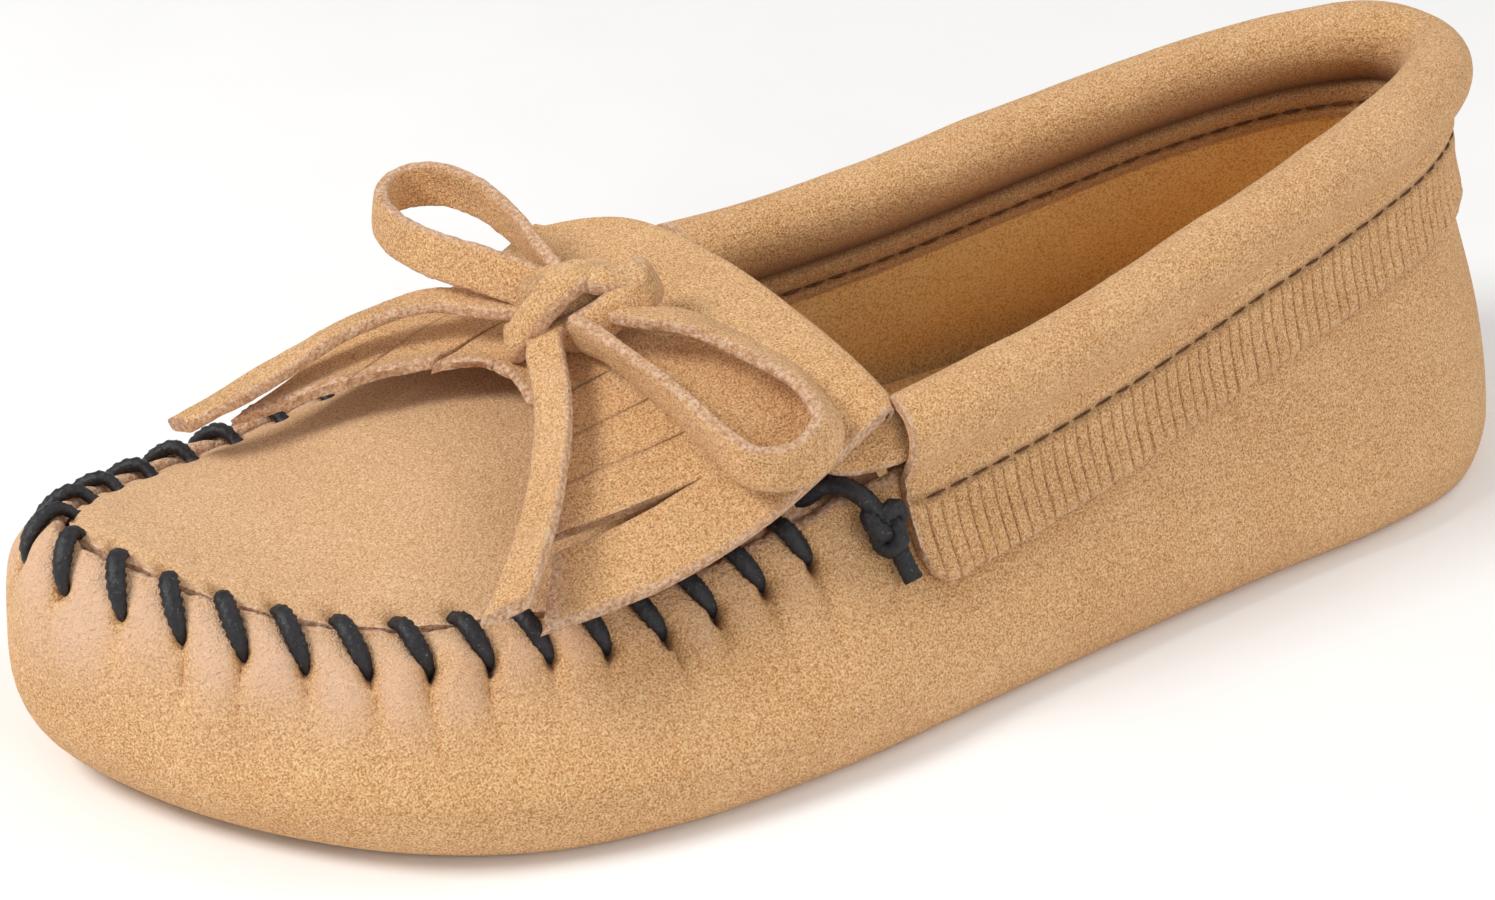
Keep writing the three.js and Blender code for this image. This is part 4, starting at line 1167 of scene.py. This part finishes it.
def make_flap():
    base_w, sign, start, gape = flap_columns()
    t = np.concatenate([np.linspace(0, 0.38, 40, endpoint=False), np.linspace(0.38, 1, 100)])
    tt = np.broadcast_to(t[None, :], (len(base_w), len(t)))
    free = smooth(tt, start[:, None], 1)
    opening = free * gape[:, None] + 0.14
    ww = np.clip(base_w[:, None] + sign[:, None] * opening / 2 / FLAP_WIDTH, 0, 1)
    places = np.array([slit[0] for slit in SLITS])
    strip = np.searchsorted(places, base_w + sign * 1e-6)
    cell = number_cells(strip)
    shorter = 0.05 * lattice(cell, 61)[:, None]
    t_end = tt * (1 - shorter * free)
    middle = flap_surface(ww, t_end)
    normal = flap_normal(ww, t_end)
    bounds = np.concatenate([[0], places, [1]])
    to_edge = np.minimum(base_w - bounds[strip], bounds[strip + 1] - base_w) * FLAP_WIDTH
    border = np.minimum(base_w, 1 - base_w) * FLAP_WIDTH
    tip_gap = (1 - tt) * 26
    stand = np.array(STRIP_LIFT)[strip][:, None] * free
    stand = stand + 0.45 * noise(middle, 22, 65) + 0.15 * noise(middle, 7, 66)
    stand = stand + 0.5 * smooth(tip_gap, 3.5, 0)
    droop = 0.3 * (1 - smooth(to_edge, 0, 0.9))[:, None] * free
    groove = (1 - smooth(np.abs(to_edge), 0, 0.7))[:, None]
    groove = groove * smooth(tt, start[:, None], start[:, None] + 0.04)
    thin = np.minimum(smooth(border, -0.3, 0.9)[:, None], smooth(tip_gap, -0.3, 0.8))
    lip = 0.7 * smooth(border, 3.2, 0.4)[:, None] * smooth(tt, 0.5, 0.2)
    top = middle + normal * (stand + lip - droop - 0.3 * (1 - thin))[..., None]
    bottom = middle + normal * (stand - FLAP_THICK - 0.3 * lip + 0.2 * (1 - thin))[..., None]
    along = unit(middle - flap_surface(ww, t_end - 0.03))
    reach = 1.3 * smooth(base_w, 0.45, 0.1)[:, None] * smooth(tip_gap, 4, 0)
    for grid, seed in ((top, 67), (bottom, 68)):
        grid += along * reach[..., None]
        ragged = 0.45 * noise(grid, 1.3, seed) + 0.5 * noise(grid, 4.5, seed + 2)
        grid += along * (ragged * smooth(tip_gap, 1.2, 0))[..., None]
    fold_top, fold_back = fold_roll(middle, normal, stand, border)
    rings = fold_top.shape[1]
    top = np.concatenate([fold_top, top], 1)
    bottom = np.concatenate([fold_back, bottom], 1)
    keep = np.ones((len(base_w) - 1, top.shape[1] - 1), bool)
    for column in np.flatnonzero((sign[:-1] == -1) & (sign[1:] == 1)):
        keep[column, rings + np.searchsorted(t, start[column]):] = False
    raw = np.zeros(top.shape[:2])
    gaping = np.interp(base_w, places, [min(1.0, slit[2]) for slit in SLITS])
    raw[:, rings:] = np.maximum(smooth(tip_gap, 1.6, 0.3),
                                smooth(to_edge, 1.0, 0)[:, None] * free * gaping[:, None])
    raw = np.maximum(raw, smooth(border, 1.1, 0.2)[:, None])
    under_raw = np.maximum(raw * 0.8, 0.3)
    tone = np.zeros(top.shape[:2])
    # Painted shade along the cuts, and darker 1 to 3 mm behind the front edge
    tone[:, rings:] = -0.45 * groove - 0.25 * smooth(tip_gap, 3, 1) * smooth(tip_gap, 0, 1)
    # The underside is a little darker: painted shade under the flap
    obj = thick_sheet("kiltie_leather", top, bottom, keep=keep,
                      attributes={"tone": (tone, tone - 0.25), "raw": (raw, under_raw)})
    dress(obj, TAN_SUEDE)
    finish_piece(obj, "kiltie", "flap_suede", "kiltie_flap")


# ---- Laces ----
def strap(name, points, faces, width=LACE_WIDTH, seed=0, slant=0.0):
    """A cut leather lace along points, whose broad side faces the direction given for each point."""
    path = open_curve(points)
    facing = open_curve(faces)
    u, length = even_steps(path, 0.4)
    middle = path(u)
    across, out = path_frames(middle, facing(u))
    sides = 32
    x, y = ring_section(sides, 0.62)
    distance = np.linspace(0, length, len(u))
    sample = np.stack([distance, distance * 0 + seed * 9, distance * 0], -1)
    wide = width / 2 * (1 + 0.05 * noise(sample, 9, 71))
    thick = LACE_THICK / 2 * (1 + 0.08 * noise(sample, 7, 72))
    cup = 0.28 * noise(sample, 14, 73)
    grid = (middle[:, None]
            + across[:, None] * (wide[:, None] * x[None])[..., None]
            + out[:, None] * (thick[:, None] * y[None] + cup[:, None] * (x[None] ** 2 - 0.4))[..., None])
    edge = smooth(np.abs(x), 0.86, 0.98)
    rough = noise(grid, 0.8, 74) * 0.12 + noise(grid, 2.2, 75) * 0.12
    grid = grid + across[:, None] * (np.sign(x)[None] * edge[None] * rough)[..., None]
    grid = grid + out[:, None] * (0.06 * noise(grid, 1.0, 76) + 0.12 * noise(grid, 4.0, 77))[..., None]
    if slant:
        tangent = unit(np.gradient(middle, axis=0))
        pull = smooth(distance, length - 7, length)[:, None] * x[None] * slant
        grid = grid + tangent[:, None] * pull[..., None]
    raw = np.broadcast_to(0.9 * smooth(np.abs(x), 0.8, 0.97)[None], grid.shape[:2]).copy()
    raw = np.maximum(raw, smooth(distance, length - 0.6, length - 0.1)[:, None])
    tone = 0.2 * noise(grid, 6, 78)
    obj = joined(name, [(grid, tube_faces(len(u), sides))], {"tone": tone, "raw": raw})
    dress(obj, TAN_SUEDE)
    return obj, middle, length


# The bow: for each node the lace's points, the way its broad side faces, how its far end is held and how
# far its cut end slants.
LOOPS_AND_TAILS = {
    "bow_loop_right": (
        [(-3, -37.6, 55), (-9.8, -38.5, 57), (-19.5, -38, 58), (-31, -38.5, 58.6), (-38.5, -42, 58.8),
         (-40.5, -47, 58.4), (-37, -52, 58), (-28, -54, 57.6), (-19, -51.5, 57), (-12, -47, 56.4),
         (-4, -41, 54.6)],
        [(0.1, 1, 0.4), (0.1, 1, 0.3), (0.1, 1, 0.2), (-0.1, 1, 0.1), (-0.7, 0.7, 0.1), (-1, -0.1, 0),
         (-0.7, -0.8, 0.1), (0, -1, 0.2), (0.4, -1, 0.3), (0.4, -1, 0.4), (0.4, -1, 0.5)],
        "object", 0.0),
    "bow_loop_left": (
        [(3, -36, 54), (8.8, -33.2, 54.4), (13, -27.5, 53.8), (22, -22.5, 52.2), (31, -18.5, 49.4),
         (38.5, -19.2, 46.4), (42.2, -25.6, 44.2), (39.6, -31.6, 44), (33.4, -34.4, 46.4),
         (24.5, -36.4, 49.4), (12, -39.4, 52.2), (5, -40.5, 52)],
        [(0, 0.1, 1), (0, 0.2, 1), (0, 0.2, 1), (0.2, 0.5, 0.9), (0.7, 0.7, 0.5), (1, 0.3, 0.2),
         (1, -0.4, 0.1), (0.3, -1, 0), (-0.3, -1, 0), (-0.2, -1, -0.2), (-0.2, -1, -0.4), (-0.2, -1, -0.4)],
        "object", 0.0),
    "bow_tail_right": (
        [(-4, -41, 51.8), (-10.5, -46.4, 51), (-18.5, -52.7, 50.2), (-23.5, -62.5, 46.6), (-23, -74.5, 43),
         (-21, -84, 40.9), (-22, -91.5, 38)],
        [(0, 0, 1), (0, 0, 1), (0, 0, 1), (-0.2, 0, 1), (-0.2, 0, 1), (-0.2, 0, 1), (-0.2, 0, 1)],
        "bare", 1.2),
    "bow_tail_left": (
        [(0, -41, 52.4), (3.2, -45, 51), (9.6, -47.6, 48.8), (18.1, -51.4, 45.9), (28.1, -57.7, 42.3),
         (39.6, -67, 37.9), (45.1, -72.5, 35.5)],
        [(0, -0.5, 1), (-0.1, -0.4, 1), (-0.2, -0.4, 0.9), (-0.25, -0.4, 0.9), (-0.2, -0.4, 0.9),
         (-0.1, -0.3, 0.9), (0, -0.2, 0.9)],
        "bare", 2.4),
}


def make_bow_laces():
    for number, (node_name, (points, faces, far_end, slant)) in enumerate(LOOPS_AND_TAILS.items()):
        width = LACE_WIDTH * (TAIL_SHARE if slant else LOOP_SHARE)
        obj, middle, length = strap(node_name + "_lace", at(points), faces, width, number, slant)
        finish_piece(obj, "kiltie", "lace_suede", node_name)


KNOT = np.array([-1, -37.5, 53.8]) - LAST_MIDDLE
# The knot's own directions: along the foot's back line, up, and out to the foot's outer front.
KNOT_ALONG = unit(np.array([0.49, 0.87, 0.0]))
KNOT_OUT = unit(np.array([0.77, -0.43, 0.3]))
KNOT_UP = unit(np.cross(KNOT_OUT, KNOT_ALONG))
# Turns of lace over the knot: points as (along, up, out), the way the broad side faces, and the width.
KNOT_TURNS = [
    ([(-9.5, -6.5, -3.5), (-8.8, -5.4, 1.5), (-6.6, -2.2, 4.6), (-3.4, 1.8, 5.2), (0.6, 4.4, 3.6),
      (3.2, 4.6, -0.5)],
     [(-0.9, -0.3, 0.2), (-0.6, 0.3, 0.8), (-0.5, 0.6, 0.8), (-0.3, 0.8, 0.7), (0, 1, 0.4),
      (0.2, 1, -0.2)],
     6.6),
    ([(-2.4, -5.8, -2), (-0.6, -4.6, 3.4), (3.2, -2.2, 6), (7, 0.6, 5.2), (10, 2.6, 1.8),
      (9.6, 3.2, -2.4)],
     [(0, -0.9, 0.3), (0, -0.5, 0.9), (0.1, -0.1, 1), (0.3, 0.2, 1), (0.9, 0.5, 0.5),
      (1, 0.5, -0.3)],
     6.8),
    ([(-4, 3.6, -1), (-1, 4.4, 3), (3.6, 3.9, 4.4), (7.8, 3.8, 3), (9.8, 3, -1.4)],
     [(0, 0.9, 0.3), (0, 0.8, 0.6), (0.1, 0.9, 0.7), (0.5, 0.9, 0.4), (1, 0.5, 0)],
     6.2),
]


def knot_frame(points):
    """Points given along, up and out of the knot, in the row frame."""
    p = np.array(points, float)
    return p[..., 0:1] * KNOT_ALONG + p[..., 1:2] * KNOT_UP + p[..., 2:3] * KNOT_OUT


def make_knot():
    """Crumpled turns of lace, crossed over one another on a core."""
    sides = 28
    parts = []
    tones = []
    raws = []
    for number, (points, faces, width) in enumerate(KNOT_TURNS):
        path = open_curve(KNOT + knot_frame(points))
        facing = open_curve(knot_frame(faces))
        u, _ = even_steps(path, 0.35)
        across, out = path_frames(path(u), facing(u))
        x, _ = ring_section(sides, 0.6)
        pinch = 0.82 + 0.18 * np.abs(np.linspace(-1, 1, len(u)))
        grid = swept(path(u), across, out, width / 2 * pinch, LACE_THICK / 2 + 0.25, sides, 0.6)
        crumple = 0.45 * noise(grid, 3.4, 81 + number) + 0.16 * noise(grid, 1.1, 86 + number)
        cup = -0.55 * (x[None] ** 2 - 0.4)
        grid = grid + out[:, None] * (crumple + cup)[..., None]
        parts.append((grid, tube_faces(len(u), sides)))
        raws.append(np.broadcast_to(0.9 * smooth(np.abs(x), 0.8, 0.96)[None], grid.shape[:2]).ravel())
        tones.append((0.25 * noise(grid, 3, 83) - 0.05).ravel())
    i = np.linspace(0.02, math.pi - 0.02, 40)[:, None]
    j = np.linspace(0, 2 * math.pi, 48, endpoint=False)[None]
    core = KNOT + knot_frame(np.stack([9.0 * np.cos(i) + 0 * j, 5.6 * np.sin(i) * np.cos(j),
                                       4.4 * np.sin(i) * np.sin(j)], -1))
    core = core + 0.5 * noise(core, 3, 84)[..., None] * UP
    parts.append((core, tube_faces(40, 48)))
    raws.append(np.full(core.shape[:2], 0.15).ravel())
    # The core is darker: painted shade between the turns
    tones.append(np.full(core.shape[:2], -0.3).ravel())
    obj = joined("bow_knot_lace", parts, {"tone": np.concatenate(tones), "raw": np.concatenate(raws)})
    dress(obj, TAN_SUEDE)
    finish_piece(obj, "kiltie", "lace_suede", "bow_knot")


LEAD_ROOM = 0.7
MOUTH_TILT = 0.5
LOOP_SHARE = 0.96  # of the lace's width
TAIL_SHARE = 0.8
LEAD_SHARE = 1.08


def lead_route(side, spots, sway):
    """A lead's points from inside the collar's mouth to places under the flap, and the way it faces."""
    mouth = COLLAR_FIRST if side > 0 else COLLAR_LAST
    stations = [mouth + 0.14 * side, mouth - 0.04 * side]
    points = [roll_centre(k) for k in stations]
    faces = [wall_normal(k, 1.0) + MOUTH_TILT * UP for k in stations]
    for w, t in spots:
        normal = flap_normal(w, t)
        under = flap_surface(w, t) - UP * FLAP_THICK
        points.append(under - normal * (CLEAR + LEAD_ROOM + LACE_THICK / 2))
        faces.append(normal)
    between = (points[1] + points[2]) / 2 + np.array(sway)
    points.insert(2, between)
    faces.insert(2, faces[1] + 0.6 * faces[2])
    return np.array(points), np.array(faces)


def make_leads():
    """The lace where it comes out of the collar's ends, and where it lies in the collar."""
    plans = [
        ("lace_lead_left", 1, [(0.84, 0.14), (0.7, 0.24), (0.58, 0.3)], (1.5, -2.5, -1.2)),
        ("lace_lead_right", -1, [(0.2, 0.1), (0.32, 0.2), (0.42, 0.28)], (0, 0, 0)),
    ]
    for number, (node_name, side, spots, sway) in enumerate(plans):
        points, faces = lead_route(side, spots, sway)
        obj, _, _ = strap(node_name + "_lace", points, faces, LACE_WIDTH * LEAD_SHARE, number + 6)
        finish_piece(obj, "shoe", "lace_suede", node_name)
    k = np.linspace(COLLAR_FIRST + 0.25, COLLAR_LAST - 0.25, 60)
    normal = wall_normal(k, np.ones_like(k))
    normal[:, 2] = 0
    obj, _, _ = strap("lace_in_collar_lace", roll_centre(k), unit(normal), seed=9)
    finish_piece(obj, "shoe", "lace_suede", "lace_in_collar")


# ---- Insole ----
def sole_outline(margin, count):
    k = np.linspace(0, COUNT, count, endpoint=False)
    inward = wall_normal(k, np.full_like(k, WIDE_ROW))
    outline = wall(k, np.zeros_like(k)) - inward * margin
    outline[:, 2] = 0
    return outline


def pad_object(name, level, thick, crown, seed):
    """A flat pad with rounded edges and a slightly worn top."""
    outline = sole_outline(EDGE_MARGIN, 300)
    middle = outline.mean(0)
    rings = []
    for share, height in ((0.02, 0), (0.5, 0), (0.9, 0), (0.985, 0), (1.0, 0.3), (1.0, 0.7), (0.985, 1),
                          (0.95, 1), (0.85, 1), (0.7, 1), (0.5, 1), (0.3, 1), (0.15, 1), (0.02, 1)):
        ring = middle + (outline - middle) * share
        ring[:, 2] = level + thick * height + (crown * (1 - share ** 4) if height == 1 else 0)
        if height == 1:
            ring[:, 2] += 0.3 * noise(ring, 18, seed) * (1 - share ** 6)
        rings.append(ring)
    grid = np.stack(rings)
    return joined(name, [(grid, tube_faces(len(rings), len(outline)))],
                  {"tone": np.zeros(grid.shape[:2]), "raw": np.zeros(grid.shape[:2])})


def make_insole():
    pad_level = WRAP_THICK + CLEAR
    pad = dress(pad_object("insole_foam", pad_level, PAD_THICK - 0.3, 0, 91), PAD_FOAM)
    finish_piece(pad, "shoe", "foam", "insole_pad")
    cover_level = pad_level + PAD_THICK + CLEAR
    cover = dress(pad_object("insole_suede_cover", cover_level, SOCK_THICK, 0.4, 92), INNER_SUEDE)
    finish_piece(cover, "shoe", "insole_suede", "insole_cover")


# ---- Back seam ----
WELT_LOW = 0.36
WELT_PROUD = 1.4
WELT_WIDTH = 3.2
WELT_TOP_GAP = 2
HEEL_STITCHES = 9


def welt_rows(t):
    top = row_at_height(HEEL, roll_centre(HEEL)[2] - SKIRT_DROP - WELT_TOP_GAP)
    return WELT_LOW + (top - WELT_LOW) * t


def make_heel_seam():
    s = np.linspace(-1, 1, 17)
    t = np.linspace(0, 1, 90)
    ss, tt = np.meshgrid(s, t, indexing="ij")
    rows = welt_rows(tt)
    k = np.full_like(rows, float(HEEL))
    crown = np.sqrt(np.maximum(0, 1 - np.abs(ss) ** 3))
    rough = 0.1 * noise(np.stack([ss * 2, tt * 40, tt], -1), 1, 95)
    proud = CLEAR + WELT_PROUD * (0.35 + 0.65 * crown) + rough
    front = off_wall(k, rows, proud)
    back = off_wall(k, rows, np.full_like(rows, 0.05))
    for grid in (front, back):
        grid[..., 0] += ss * WELT_WIDTH / 2
    raw = smooth(np.abs(ss), 0.5, 1)
    obj = thick_sheet("heel_welt_leather", front, back,
                      attributes={"tone": (raw * 0, raw * 0), "raw": (raw, raw)})
    dress(obj, TAN_SUEDE)
    finish_piece(obj, "shoe", "wrap_suede", "heel_seam_welt")
    parts = []
    for number in range(HEEL_STITCHES):
        start = 0.06 + 0.1 * number
        t = np.linspace(start, start + 0.05, 9)
        arch = np.sin(np.linspace(0, math.pi, 9))
        k = np.full(9, float(HEEL))
        points = off_wall(k, welt_rows(t), CLEAR + WELT_PROUD + 0.5 * arch - 0.35)
        points[:, 0] += np.linspace(-1.5, 1.5, 9)
        normal = wall_normal(k, welt_rows(t))
        across, out = path_frames(points, normal)
        radius = THREAD_DIAMETER / 2 * (0.6 + 0.4 * arch)
        parts.append((swept(points, across, out, radius, radius, 8), tube_faces(9, 8)))
    thread = dress(joined("heel_seam_stitches", parts), BROWN_THREAD)
    finish_piece(thread, "shoe", "brown_thread", "heel_seam_thread")


def make_floor():
    half = 3000
    points = [(-half, -half, 0), (half, -half, 0), (half, half, 0), (-half, half, 0)]
    floor = new_object("floor", np.array(points, float), [(0, 1, 2, 3)])
    dress(floor, floor_material())


make_camera()
make_bow_laces()
make_lights()
make_floor()
make_wrap()
make_plug()
make_lacing()
make_lacing_end(1, "lacing_knot_outer", "lacing_end_left")
make_lacing_end(-1, "lacing_knot_inner", "lacing_end_right")
make_collar()
make_collar_thread(1, "collar_stitches_outer", "collar_thread_outer")
make_collar_thread(-1, "collar_stitches_inner", "collar_thread_inner")
make_flap()
make_knot()
make_leads()
make_insole()
make_heel_seam()
